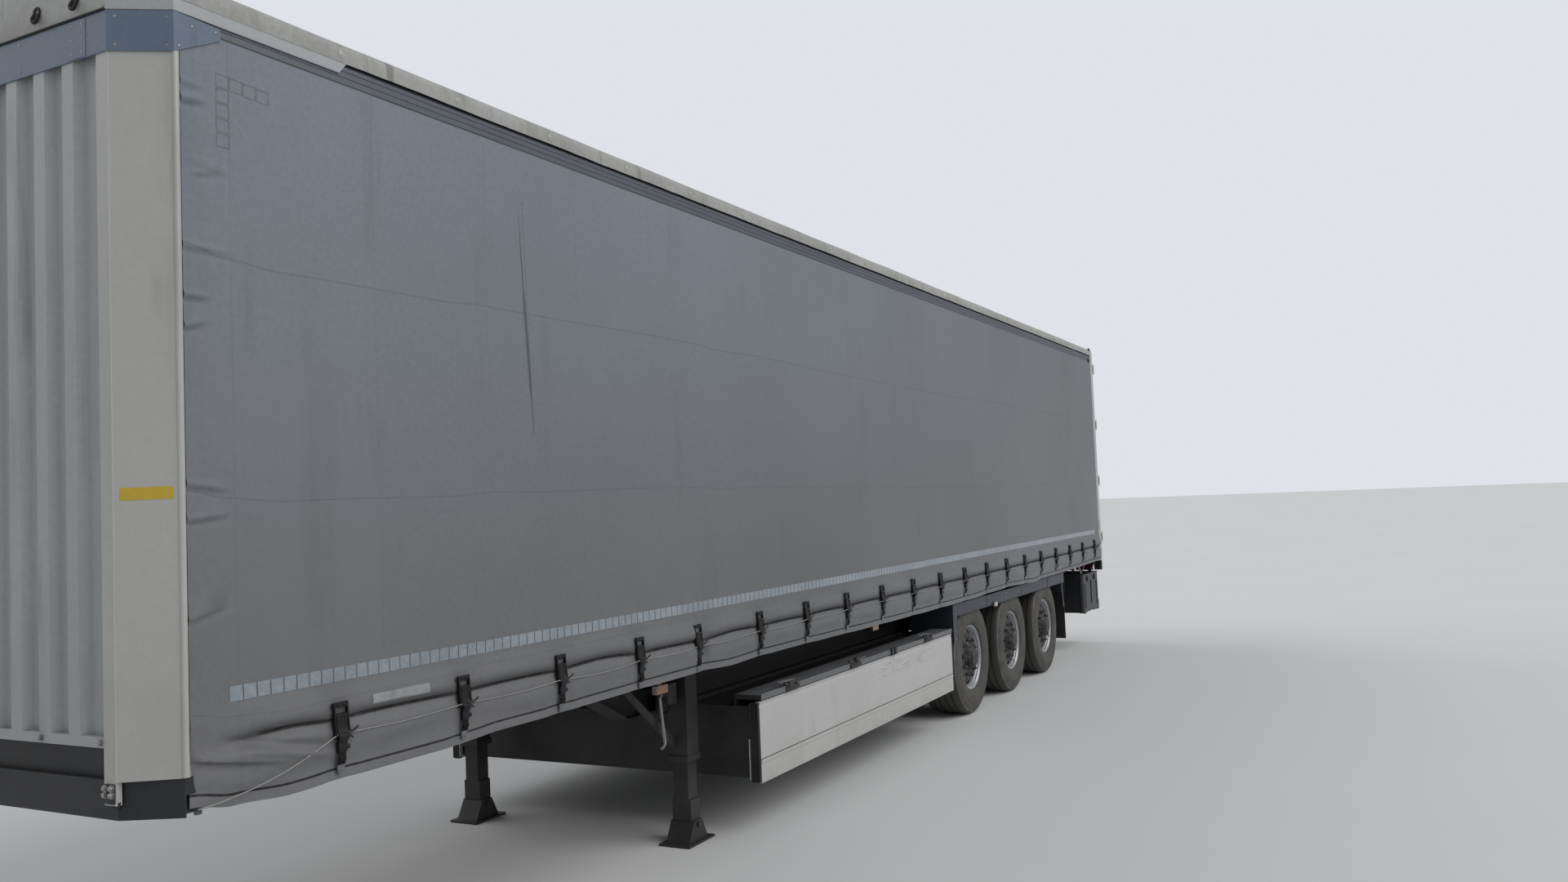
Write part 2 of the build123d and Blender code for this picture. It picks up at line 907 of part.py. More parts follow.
def door_leaf():
    """The left door leaf, a flat panel with its cranked hinge straps."""
    outer_y = hinge_y - door_edge
    strap_x = door_face_x - strap_plate_t
    grip = strap_plate_t / 2
    crank = [
        (hinge_x - grip, hinge_y - hinge_r + knuckle_grip),
        (hinge_x + grip, hinge_y + grip),
        (door_face_x, outer_y + strap_plate_t),
        (door_face_x, outer_y - strap_plate_l),
        (strap_x, outer_y - strap_plate_l),
        (strap_x, outer_y),
    ]
    pieces = [block(door_face_x, door_inner_x, door_middle_gap, outer_y, door_bottom_z, door_top_z)]
    for z in hinge_levels:
        z0, z1 = z - knuckle_h / 2, z + knuckle_h / 2
        pieces.append(prism_z(crank, z0, z1))
        pieces.append(rod((hinge_x, hinge_y, z0), (hinge_x, hinge_y, z1), hinge_r))
    return fused(pieces)


def door_gear():
    """Lock rods of the left door, with their guides, end cams and the handles that point at each other."""
    x = door_face_x - lock_rod_standoff
    low_z = door_bottom_z - lock_rod_overlap
    guides = spaced(door_bottom_z + lock_guide_low, door_top_z - lock_guide_high, lock_guide_count)
    handle_x = x - lock_rod_r
    inner_rod = (lock_rod_in_y, 1, floor_z + lock_handle_rise)
    outer_rod = (hinge_y - door_edge - lock_rod_out_inset, -1, floor_z + lock_handle_rise - lock_handle_step)
    pieces = []
    for y, way, handle_z in (inner_rod, outer_rod):
        half_guide, half_cam = lock_guide_w / 2, lock_cam_w / 2
        grip_y = y - way * lock_rod_r
        catch_y = y + way * lock_handle_l * lock_catch_share
        bits = [rod((x, y, low_z), (x, y, door_top_z - lock_rod_top_gap), lock_rod_r)]
        for z in guides:
            bits.append(block(door_face_x, handle_x, y - half_guide, y + half_guide, z, z + lock_guide_h))
        for z in (low_z, door_top_z - lock_rod_top_gap - lock_cam_h):
            bits.append(block(door_face_x, x - lock_cam_t, y - half_cam, y + half_cam, z, z + lock_cam_h))
        bits.append(block(handle_x, handle_x + lock_handle_t, grip_y, grip_y + way * lock_handle_l,
                          handle_z - lock_handle_h / 2, handle_z + lock_handle_h / 2))
        bits.append(block(door_face_x, handle_x, catch_y, catch_y + way * lock_catch_w,
                          handle_z - lock_catch_h / 2, handle_z + lock_catch_h / 2))
        pieces += fused(bits)
    return pieces


def tyre(x, side):
    """One wide single tyre as a ring around the rim."""
    half = tyre_w / 2
    bead = rim_w / 2
    profile = [
        (-bead, rim_r),
        (-half, tyre_belly_r),
        (-tyre_tread_w / 2, tyre_r),
        (tyre_tread_w / 2, tyre_r),
        (half, tyre_belly_r),
        (bead, rim_r),
    ]
    return [turned(profile, (x, side * wheel_y, axle_z), (0, side, 0))]


def rim(x, side):
    """A steel rim with its dished disc and the hub that turns on the axle's end."""
    half = rim_w / 2
    inner = rim_r - rim_wall
    face = rim_offset + disc_t
    profile = [
        (hub_back, 0),
        (hub_back, hub_r),
        (rim_offset - disc_dish, hub_r),
        (rim_offset - disc_dish, inner),
        (-half, inner),
        (-half, rim_r),
        (half, rim_r),
        (half, inner),
        (face - disc_dish, inner),
        (face, disc_flat_r),
        (face, hub_r),
        (face + hub_out - hub_step, hub_r),
        (face + hub_out - hub_step, hub_cap_r),
        (face + hub_out, hub_cap_r),
        (face + hub_out, 0),
    ]
    return [turned(profile, (x, side * wheel_y, axle_z), (0, side, 0))]


def axles():
    """Three round axle beams with the stub ends that carry the hubs."""
    hub_y = wheel_y + hub_back - spindle_gap
    beam_end = hub_y - spindle_l
    profile = [
        (-hub_y, 0),
        (-hub_y, spindle_r),
        (-beam_end, spindle_r),
        (-beam_end, axle_r),
        (beam_end, axle_r),
        (beam_end, spindle_r),
        (hub_y, spindle_r),
        (hub_y, 0),
    ]
    return [turned(profile, (x, 0, axle_z), (0, 1, 0)) for x in axle_x]


def hangers():
    """Brackets under the beams that hold the front eyes of the arms."""
    pz = axle_z + pivot_up
    low = pz - arm_eye_r - hanger_drop
    y0, y1 = beam_y - arm_w / 2, beam_y + arm_w / 2
    pieces = []
    for x in axle_x:
        px = x + pivot_ahead
        foot, head = px + hanger_bottom_l / 2, px + hanger_top_l / 2
        cheek = [
            (px - hanger_bottom_l / 2, low),
            (foot, low),
            (head, beam_bottom_z),
            (px - hanger_top_l / 2, beam_bottom_z),
        ]
        nose = [(foot, low), (head, beam_bottom_z), (head - hanger_t, beam_bottom_z), (foot - hanger_t, low)]
        pieces += fused([
            prism_y(cheek, y0 - hanger_t, y0),
            prism_y(cheek, y1, y1 + hanger_t),
            prism_y(nose, y0, y1),
            bolt_y(px, pz, y1 + hanger_t, y1 + hanger_t + pivot_nut_l, pivot_nut),
        ])
    return both(pieces)


def trailing_arms():
    """Spring arms from the hangers, over the axles, down to the seats of the air springs."""
    over = axle_z + axle_r
    pz = axle_z + pivot_up
    seat_z = axle_z + seat_up
    y0, y1 = beam_y - arm_w / 2, beam_y + arm_w / 2
    pieces = []
    for x in axle_x:
        px, seat_x = x + pivot_ahead, x - seat_behind
        outline = [
            (px, pz - arm_t / 2),
            (px, pz + arm_t / 2),
            (x + clamp_l / 2, over + arm_t),
            (x - clamp_l / 2, over + arm_t),
            (seat_x + seat_front_l, seat_z),
            (seat_x - seat_rear_l, seat_z),
            (seat_x - seat_rear_l, seat_z - arm_tail_t),
            (seat_x + seat_front_l, seat_z - arm_tail_t),
            (x - clamp_l / 2, over),
            (x + clamp_l / 2, over),
        ]
        pieces += fused([prism_y(outline, y0, y1), rod((px, y0, pz), (px, y1, pz), arm_eye_r)])
    return both(pieces)


def arm_clamps():
    """Plates and bolts that clamp each arm to its axle."""
    top = axle_z + axle_r + arm_t
    low = axle_z - axle_r
    half_y = arm_w / 2 + clamp_side
    bolt_x = axle_r + clamp_bolt / 2 + clamp_bolt_gap
    bolt_y_shift = arm_w / 2 + clamp_side / 2
    half_x = bolt_x + clamp_edge
    pieces = []
    for x in axle_x:
        bits = [
            block(x - half_x, x + half_x, beam_y - half_y, beam_y + half_y, top, top + clamp_t),
            block(x - half_x, x + half_x, beam_y - half_y, beam_y + half_y, low - clamp_t, low),
        ]
        for sx in (1, -1):
            for sy in (1, -1):
                bits.append(bolt_z(x + sx * bolt_x, beam_y + sy * bolt_y_shift,
                                   low - clamp_t - clamp_bolt_tail, top + clamp_t, clamp_bolt))
        pieces += fused(bits)
    return both(pieces)


def air_springs():
    """Rolling-lobe bellows on their pistons, between the arms and the beams."""
    low = axle_z + seat_up
    tall = beam_bottom_z - low
    foot = spring_foot_share * tall
    profile = [
        (0, 0),
        (0, spring_foot_r),
        (foot, spring_foot_r),
        (foot, spring_r),
        (tall, spring_r),
        (tall, 0),
    ]
    return both([turned(profile, (x - seat_behind, beam_y, low), (0, 0, 1)) for x in axle_x])


def dampers():
    """Tube dampers between the arm clamps and the beams, inside the beams."""
    clamp_y = beam_y - arm_w / 2 - clamp_side
    y = clamp_y - damper_gap
    pieces = []
    for x in axle_x:
        low = Vector(x - damper_behind, y, axle_z + axle_r + arm_t + clamp_t / 2)
        high = Vector(x + damper_ahead, y, beam_bottom_z + damper_rise)
        middle = (low + high) * 0.5
        pieces += fused([
            rod(tuple(low), tuple(middle), damper_r),
            rod(tuple(low), tuple(high), damper_rod_r),
            bolt_y(low.X, low.Z, y - damper_r, clamp_y, damper_pin),
            bolt_y(high.X, high.Z, y - damper_r, beam_y - web_t / 2, damper_pin),
        ])
    return both(pieces)


def brakes():
    """Calipers at the hub carriers, with their air chambers pointing inwards."""
    inner_y = wheel_y - brake_inset
    plate_top_z = axle_z + caliper_high - brake_plate_t
    chamber_z = axle_z + chamber_up
    pieces = []
    for x in axle_x:
        half_plate, half_caliper = brake_plate_l / 2, caliper_l / 2
        carrier = fused([
            block(x - half_plate, x + half_plate, inner_y, inner_y + brake_plate_t,
                  axle_z - brake_plate_drop, plate_top_z),
            block(x - half_caliper, x + half_caliper, inner_y, inner_y + caliper_w,
                  axle_z + caliper_low, axle_z + caliper_high),
            rod((x, inner_y, chamber_z), (x, inner_y - chamber_l, chamber_z), chamber_r),
        ])
        axle_room = rod((x, 0, axle_z), (x, wheel_y, axle_z), axle_r)
        pieces += less(carrier[0], [axle_room])
    return both(pieces)


def leg_tubes():
    """The outer tubes of the landing legs with their fixing plates."""
    half = leg_tube / 2
    half_plate = half + leg_plate_margin
    flange_y = beam_y + flange_w / 2
    tube = block(leg_x - half, leg_x + half, leg_y - half, leg_y + half, leg_tube_bottom_z, leg_top_z)
    plate = block(leg_x - half_plate, leg_x + half_plate, flange_y, leg_y - half, beam_bottom_z, leg_top_z)
    return both(fused([tube, plate]))


def leg_feet():
    """Inner tubes that stand on rocking feet."""
    half = leg_inner_tube / 2
    half_fork = half + fork_t
    half_saddle = half_fork + saddle_t
    tube = block(leg_x - half, leg_x + half, leg_y - half, leg_y + half,
                 leg_inner_bottom_z, leg_tube_bottom_z)
    fork = prism_y([
        (leg_x - half, fork_top_z),
        (leg_x + half, fork_top_z),
        (leg_x + half, foot_pin_z + fork_nose),
        (leg_x + fork_nose, foot_pin_z - fork_nose),
        (leg_x - fork_nose, foot_pin_z - fork_nose),
        (leg_x - half, foot_pin_z + fork_nose),
    ], leg_y - half_fork, leg_y + half_fork)
    saddle = prism_y([
        (leg_x - foot_l / 2 + saddle_toe, foot_t),
        (leg_x + foot_l / 2 - saddle_toe, foot_t),
        (leg_x + saddle_top_l / 2, saddle_top_z),
        (leg_x - saddle_top_l / 2, saddle_top_z),
    ], leg_y - half_saddle, leg_y + half_saddle)
    sole = block(leg_x - foot_l / 2, leg_x + foot_l / 2, leg_y - foot_w / 2, leg_y + foot_w / 2, 0, foot_t)
    pin = bolt_y(leg_x, foot_pin_z, leg_y - half - foot_pin_out, leg_y + half + foot_pin_out, foot_pin)
    return both(fused([tube, fork, saddle, sole, pin]))


def leg_braces():
    """Forward stays of the legs and the shaft that links their gears."""
    half = leg_tube / 2
    station = min(member_stations(), key=lambda x: abs(x - leg_x - stay_reach))
    y0 = leg_y - half / 2
    top = outrigger_under_z(y0)
    stay_z = leg_tube_bottom_z + stay_rise
    stay = prism_y([
        (leg_x + half, stay_z),
        (leg_x + half, stay_z + stay_h),
        (station, top),
        (station + member_w, top),
    ], y0, y0 + stay_t)
    shaft = rod((leg_x, leg_y - half, leg_shaft_z), (leg_x, -leg_y + half, leg_shaft_z), leg_shaft_r)
    return both([stay]) + [shaft]


def pallet_box():
    """A wide open-sided box under the beams, with the latch ledges above its flaps."""
    x0, x1 = box_rear_x, box_front_x
    half_flange = flange_w / 2
    ledge_in_y = ledge_out_y - ledge_w
    ledge = [
        (ledge_in_y, box_top_z),
        (ledge_in_y + ledge_t, box_top_z),
        (ledge_in_y + ledge_t, ledge_bottom_z),
        (ledge_out_y, ledge_bottom_z),
        (ledge_out_y, ledge_bottom_z + ledge_h),
        (ledge_in_y, ledge_bottom_z + ledge_h),
    ]
    sides = [
        prism_x(ledge, x0, x1),
        block(x0, x1, beam_y - half_flange, beam_y + half_flange, box_top_z, beam_bottom_z),
    ]
    for x in flap_hinge_x:
        sides.append(block(x - flap_knuckle_l, x, box_side_y, flap_hinge_y,
                           flap_hinge_z - flap_hinge_r, box_bottom_z))
        sides.append(rod((x - flap_knuckle_l, flap_hinge_y, flap_hinge_z),
                         (x, flap_hinge_y, flap_hinge_z), flap_hinge_r))
    return fused([
        block(x0, x1, -box_side_y, box_side_y, box_bottom_z, box_bottom_z + box_wall),
        block(x0, x1, -box_side_y, box_side_y, box_top_z - box_wall, box_top_z),
        block(x0, x0 + box_wall, -box_side_y, box_side_y, box_bottom_z, box_top_z),
        block(x1 - box_wall, x1, -box_side_y, box_side_y, box_bottom_z, box_top_z),
    ] + both(sides))


def pallet_flap():
    """The left flap of the pallet box, a panel with a groove and a bent top edge, hinged below."""
    x0, x1 = box_rear_x - flap_end_gap, box_front_x + flap_end_gap
    y0, y1 = flap_y - flap_t, flap_y
    groove_z = flap_bottom_z + flap_groove_rise
    outline = [
        (y0, flap_bottom_z),
        (y1, flap_bottom_z),
        (y1, groove_z - flap_groove_h),
        (y1 - flap_groove_depth, groove_z),
        (y1, groove_z + flap_groove_h),
        (y1, flap_top_z - flap_lip_h),
        (y1 - flap_lip_t, flap_top_z),
        (y0, flap_top_z),
    ]
    pieces = [prism_x(outline, x0, x1)]
    for x in flap_hinge_x:
        start = x + flap_knuckle_gap
        pieces.append(block(start, start + flap_knuckle_l, flap_hinge_y, y0,
                            flap_hinge_z - flap_hinge_r, flap_hinge_z + flap_hinge_r))
        pieces.append(rod((start, flap_hinge_y, flap_hinge_z),
                          (start + flap_knuckle_l, flap_hinge_y, flap_hinge_z), flap_hinge_r))
    return fused(pieces)


def pallet_latches():
    """Catches on the ledges that hold the flaps up, each with its hand lever."""
    y0, y1 = ledge_out_y, ledge_out_y + latch_t
    ledge_top_z = ledge_bottom_z + ledge_h
    pieces = []
    places = (box_front_x - latch_front_setback, box_front_x - latch_middle_setback,
              box_rear_x + latch_rear_setback)
    for x in places:
        plate = block(x - latch_l / 2, x + latch_l / 2, y0, y1, ledge_bottom_z, ledge_top_z)
        lever = prism_y([
            (x, ledge_top_z - latch_lever_t),
            (x + latch_lever_l, ledge_top_z + latch_lever_h - latch_lever_t),
            (x + latch_lever_l, ledge_top_z + latch_lever_h),
            (x, ledge_top_z),
        ], y0, y1)
        pieces += fused([plate, lever])
    return both(pieces)


def mudguards():
    """Flat guards over the three wheels of each side, with a side skirt and a front end."""
    x0, x1 = guard_rear_x, guard_front_x
    leg_z = guard_top_z - guard_leg_h
    skirt_z = guard_top_z - guard_skirt_h
    return both(fused([
        block(x0, x1, guard_in_y, guard_out_y, guard_top_z - guard_t, guard_top_z),
        block(x0, x1, guard_out_y - guard_t, guard_out_y, skirt_z, guard_top_z),
        block(x1 - guard_t, x1, guard_in_y, guard_out_y, leg_z, guard_top_z),
        block(x1 - guard_strip_l, x1, guard_out_y - guard_t, guard_out_y, leg_z, guard_top_z),
        block(x0, x0 + guard_t, guard_in_y, guard_out_y, guard_top_z - guard_rear_h, guard_top_z),
    ]))


def guard_stays():
    """Posts that hang the guards from the outriggers."""
    y0 = (guard_in_y + guard_out_y - guard_stay_w) / 2
    y1 = y0 + guard_stay_w
    outline = [
        (y0, guard_top_z),
        (y1, guard_top_z),
        (y1, outrigger_under_z(y1)),
        (y0, outrigger_under_z(y0)),
    ]
    pieces = []
    for x in member_stations():
        if guard_rear_x < x < guard_front_x - member_w:
            pieces.append(prism_x(outline, x + guard_stay_margin, x + member_w - guard_stay_margin))
    return both(pieces)


def mud_flaps():
    """Rubber flaps behind the last wheels."""
    x = guard_rear_x
    return both([block(x - mud_flap_t, x, guard_in_y + mud_flap_inset, guard_out_y - mud_flap_inset,
                       mud_flap_z, guard_top_z)])


def tool_knuckle_places():
    """The hinge places of the tool box lid, near both ends."""
    return (tool_rear_x + tool_knuckle_margin, tool_front_x - tool_knuckle_margin)


def tool_box():
    """The hollow body of the tool box, open towards its lid, hung from the side rail."""
    x0, x1 = tool_rear_x, tool_front_x
    body = block(x0, x1, tool_in_y, tool_face_y, tool_bottom_z, tool_top_z)
    room = block(x0 + tool_wall, x1 - tool_wall, tool_in_y + tool_wall, tool_face_y + tool_wall,
                 tool_bottom_z + tool_wall, tool_top_z - tool_wall)
    hang_y = rail_web_y + rail_t - rail_foot_w
    hang = [
        (tool_face_y - tool_hang_l, tool_top_z),
        (tool_face_y, tool_top_z),
        (hang_y + tool_hang_lean, rail_bottom_z),
        (hang_y, rail_bottom_z),
    ]
    pieces = less(body, [room])
    for x in (x0 + tool_hang_margin, x1 - tool_hang_margin - tool_hang_w):
        pieces.append(prism_x(hang, x, x + tool_hang_w))
    for x in tool_knuckle_places():
        pieces.append(block(x - tool_knuckle_l, x, tool_face_y - tool_hang_l, tool_hinge_y,
                            tool_hinge_z - tool_hinge_r, tool_bottom_z))
        pieces.append(rod((x - tool_knuckle_l, tool_hinge_y, tool_hinge_z),
                          (x, tool_hinge_y, tool_hinge_z), tool_hinge_r))
    return fused(pieces)


def tool_box_lid():
    """The lid that makes the side face of the tool box, rounded at both ends and hinged below."""
    x0, x1 = tool_rear_x, tool_front_x
    y0, y1 = tool_out_y - tool_lid_t, tool_out_y
    plate = block(x0, x1, y0, y1, tool_bottom_z, tool_top_z)
    corners = plate.edges().filter_by(Axis.Z).group_by(Axis.Y)[-1]
    plate = plate.fillet(tool_lid_round, corners)
    middle_x, middle_z = (x0 + x1) / 2, (tool_bottom_z + tool_top_z) / 2
    slot = block(middle_x - tool_slot_w / 2, middle_x + tool_slot_w / 2, y1 - tool_slot_depth, y1 + tool_gap,
                 middle_z - tool_slot_h / 2, middle_z + tool_slot_h / 2)
    pieces = less(plate, [slot])
    for x in tool_knuckle_places():
        start = x + flap_knuckle_gap
        pieces.append(block(start, start + tool_knuckle_l, tool_hinge_y - tool_hinge_r,
                            tool_hinge_y + tool_hinge_r, tool_hinge_z, tool_bottom_z))
        pieces.append(rod((start, tool_hinge_y, tool_hinge_z),
                          (start + tool_knuckle_l, tool_hinge_y, tool_hinge_z), tool_hinge_r))
    return fused(pieces)


def air_tanks():
    """Two air tanks side by side between the beams, in saddles under the cross members."""
    z = member_bottom_z - tank_r - saddle_h
    profile = [
        (0, 0),
        (0, tank_r * tank_end_share),
        (tank_dome, tank_r),
        (tank_l - tank_dome, tank_r),
        (tank_l, tank_r * tank_end_share),
        (tank_l, 0),
    ]
    tank = turned(profile, (tank_front_x, tank_y, z), (-1, 0, 0))
    pieces = [tank]
    for x in member_stations():
        if tank_front_x - tank_l + tank_dome < x < tank_front_x - tank_dome:
            saddle = block(x, x + member_w, tank_y - saddle_w / 2, tank_y + saddle_w / 2,
                           z + tank_r / 2, member_bottom_z)
            pieces += less(saddle, [tank])
    return both(pieces)


def underrun_bar():
    """The rear underrun beam on two drop arms."""
    x0, x1 = underrun_x, underrun_x + underrun_t
    z0, z1 = underrun_bottom_z, underrun_bottom_z + underrun_h
    arm = [
        (x0 + underrun_arm_t, z1),
        (x1, z1),
        (rear_frame_front_x, rear_sill_bottom_z),
        (rear_frame_x, rear_sill_bottom_z),
    ]
    half_arm = underrun_arm_t / 2
    arms = both([prism_y(arm, underrun_arm_y - half_arm, underrun_arm_y + half_arm)])
    return fused([block(x0, x1, -underrun_y, underrun_y, z0, z1)] + arms)


def tail_lamps():
    """Lamp clusters under the rear sill, inside the buffers."""
    x0 = rear_frame_x - lamp_out
    top = rear_sill_bottom_z
    out_y = side_y - buffer_inset - buffer_w - lamp_gap
    return both([block(x0, x0 + lamp_t, out_y - lamp_l, out_y, top - lamp_h, top)])


def dock_buffers():
    """Rubber buffers at both ends of the rear sill."""
    y1 = side_y - buffer_inset
    top = floor_z - buffer_drop
    return both([block(rear_x, rear_frame_x, y1 - buffer_w, y1, top - buffer_h, top)])


def side_lamps():
    """Amber marker lamps on hangers under the side rails, and one on each guard's skirt."""
    hang_y = rail_web_y + rail_t - rail_foot_w
    top = rail_bottom_z - marker_t
    pieces = []
    places = (front_x - marker_front_setback, front_x - marker_middle_setback, rear_x + marker_rear_setback)
    for x in places:
        lamp = block(x - marker_l / 2, x + marker_l / 2, hang_y, hang_y + marker_t, top - marker_h, top)
        hanger = block(x - marker_t / 2, x + marker_t / 2, hang_y, hang_y + marker_t / 2, top, rail_bottom_z)
        pieces += fused([lamp, hanger])
    middle_x = (axle_x[0] + axle_x[1]) / 2
    low_z = guard_top_z - guard_skirt_h - marker_skirt_drop
    pieces.append(block(middle_x - marker_l / 2, middle_x + marker_l / 2, guard_out_y,
                        guard_out_y + marker_t / 2, low_z, low_z + marker_h))
    return both(pieces)


def write(name, solids):
    """One STEP file of one node."""
    shape = solids[0] if len(solids) == 1 else Compound(children=list(solids))
    export_step(shape, f"parts/{name}.step")


os.makedirs("parts", exist_ok=True)
left_curtain = curtain()
left_door = door_leaf()
left_gear = door_gear()
left_flap = pallet_flap()
nodes = {
    "main_beams": main_beams(),
    "cross_members": cross_members(),
    "side_rails": side_rails(),
    "load_floor": load_floor(),
    "coupling_plate": coupling_plate(),
    "kingpin": kingpin(),
    "service_panel": service_panel(),
    "front_wall": front_wall(),
    "front_posts": front_posts(),
    "front_header": front_header(),
    "roof_rails": roof_rails(),
    "roof_bows": roof_bows(),
    "roof_cover": roof_cover(),
    "curtain_left": left_curtain,
    "curtain_right": mirrored(left_curtain),
    "curtain_straps": curtain_straps(),
    "side_posts": side_posts(),
    "side_slats": side_slats(),
    "rear_frame": rear_frame(),
    "door_left": left_door,
    "door_right": mirrored(left_door),
    "door_left_gear": left_gear,
    "door_right_gear": mirrored(left_gear),
    "axles": axles(),
    "hangers": hangers(),
    "trailing_arms": trailing_arms(),
    "arm_clamps": arm_clamps(),
    "air_springs": air_springs(),
    "dampers": dampers(),
    "brakes": brakes(),
    "leg_tubes": leg_tubes(),
    "leg_feet": leg_feet(),
    "leg_braces": leg_braces(),
    "pallet_box": pallet_box(),
    "pallet_flap_left": left_flap,
    "pallet_flap_right": mirrored(left_flap),
    "pallet_latches": pallet_latches(),
    "mudguards": mudguards(),
    "guard_stays": guard_stays(),
    "mud_flaps": mud_flaps(),
    "tool_box": tool_box(),
    "tool_box_lid": tool_box_lid(),
    "air_tanks": air_tanks(),
    "underrun_bar": underrun_bar(),
    "tail_lamps": tail_lamps(),
    "dock_buffers": dock_buffers(),
    "side_lamps": side_lamps(),
}
for number, x in enumerate(axle_x, start=1):
    for word, side in (("left", 1), ("right", -1)):
        nodes[f"tyre_{number}_{word}"] = tyre(x, side)
        nodes[f"rim_{number}_{word}"] = rim(x, side)
for name, solids in nodes.items():
    write(name, solids)
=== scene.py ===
import json
import math
from functools import partial

import bmesh
import bpy
from mathutils import Matrix, Vector, noise


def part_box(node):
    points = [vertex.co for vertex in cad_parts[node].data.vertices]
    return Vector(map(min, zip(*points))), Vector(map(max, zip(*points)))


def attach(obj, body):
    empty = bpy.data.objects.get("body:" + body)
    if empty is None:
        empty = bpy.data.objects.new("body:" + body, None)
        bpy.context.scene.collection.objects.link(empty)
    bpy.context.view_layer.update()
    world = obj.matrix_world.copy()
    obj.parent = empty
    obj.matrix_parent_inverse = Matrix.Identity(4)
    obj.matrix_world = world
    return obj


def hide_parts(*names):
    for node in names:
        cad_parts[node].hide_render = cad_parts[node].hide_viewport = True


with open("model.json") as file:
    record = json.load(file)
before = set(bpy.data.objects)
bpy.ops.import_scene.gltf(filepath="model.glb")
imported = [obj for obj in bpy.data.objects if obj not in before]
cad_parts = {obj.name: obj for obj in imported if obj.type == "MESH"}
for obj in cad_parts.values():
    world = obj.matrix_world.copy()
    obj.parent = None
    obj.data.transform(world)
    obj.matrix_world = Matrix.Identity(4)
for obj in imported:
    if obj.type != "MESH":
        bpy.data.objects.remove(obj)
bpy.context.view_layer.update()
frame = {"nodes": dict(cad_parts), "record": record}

bl_info = {"name": "Curtain-sided semi trailer", "version": (1, 0, 0), "blender": (4, 5, 0),
    "location": "3D View > Sidebar > Trailer",
    "description": "Dresses the solid model of a curtain-sided semi trailer, piece by piece",
    "category": "Object"}

# Places that the solid model gives, in metres. +X is the front, +Y the left side, +Z up.
curtain_low, curtain_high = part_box("curtain_left")
rail_low, rail_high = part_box("roof_rails")
flap_low, flap_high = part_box("pallet_flap_left")
guard_low, guard_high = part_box("mudguards")
mud_low, mud_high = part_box("mud_flaps")
lid_low, lid_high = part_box("tool_box_lid")
door_low, door_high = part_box("door_left")
lamp_low, lamp_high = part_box("tail_lamps")
leg_low, leg_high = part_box("leg_tubes")
box_low, box_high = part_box("pallet_box")

curtain_face = curtain_high.y
curtain_front = curtain_high.x
curtain_rear = curtain_low.x
post_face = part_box("front_posts")[1].x
# The slanted face of a front corner post: where it looks to, and by what angle it is turned
chamfer_normal = Vector((0.8247, 0.5655))
chamfer_slant = math.atan2(0.5655, 0.8247)
wheel_x = {}
for number in (1, 2, 3):
    tyre_low, tyre_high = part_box(f"tyre_{number}_left")
    wheel_x[number] = (tyre_low.x + tyre_high.x) / 2
wheel_y = (tyre_low.y + tyre_high.y) / 2
wheel_z = (tyre_low.z + tyre_high.z) / 2

sides = (("left", 1), ("right", -1))

# The camera: its place in metres, and its yaw, pitch and roll in degrees
camera_place = (9.4, 4.824, 2.066)
camera_turn = (206.998, 2.815, -2.309)

# Where the buckles and the roof bows stand, in metres to the rear, and how many buckles a side has
buckle_first = 6.175
buckle_pitch = 0.6596
buckle_count = 20
bow_first = 6.091
bow_pitch = 0.6455


def a_length(name, description, default, low, high):
    """A length that the sidebar shows, in metres."""
    return bpy.props.FloatProperty(name=name, description=description, default=default, min=low, max=high,
        unit="LENGTH")


def a_colour(name, description, default):
    """A colour that the sidebar shows."""
    return bpy.props.FloatVectorProperty(name=name, description=description, default=default, min=0.0,
        max=1.0, subtype="COLOR")


class TrailerSizes(bpy.types.PropertyGroup):
    """Sizes that shape the soft goods, the trims and the view."""

    hem_band: a_length("Hem", "Width of the turned hem along the foot of a curtain", 0.04, 0.01, 0.1)
    hem_wave: a_length("Hem wave", "How far the foot of a curtain swings up and down", 0.007, 0.0, 0.03)
    fold_depth: a_length("Rail fold", "How far the cloth stands out in the fold over the side rail", 0.024,
        0.0, 0.04)
    slack: a_length("Curtain slack", "Depth of the broad waves in a curtain", 0.008, 0.0, 0.02)
    roof_sag: a_length("Roof sag", "How far the roof sheet sinks between two bows", 0.011, 0.0, 0.03)
    tape_square: a_length("Tape square", "Side of one square of the reflective tape", 0.05, 0.02, 0.1)
    tape_gap: a_length("Tape gap", "Gap between two squares of the reflective tape", 0.0055, 0.002, 0.02)
    tread_groove: a_length("Tread groove", "Depth of the grooves round a tyre", 0.011, 0.002, 0.016)
    camera_lens: bpy.props.FloatProperty(name="Lens",
        description="Focal length of the camera in millimetres on a 36 mm sensor", default=27.4, min=15.0,
        max=90.0)


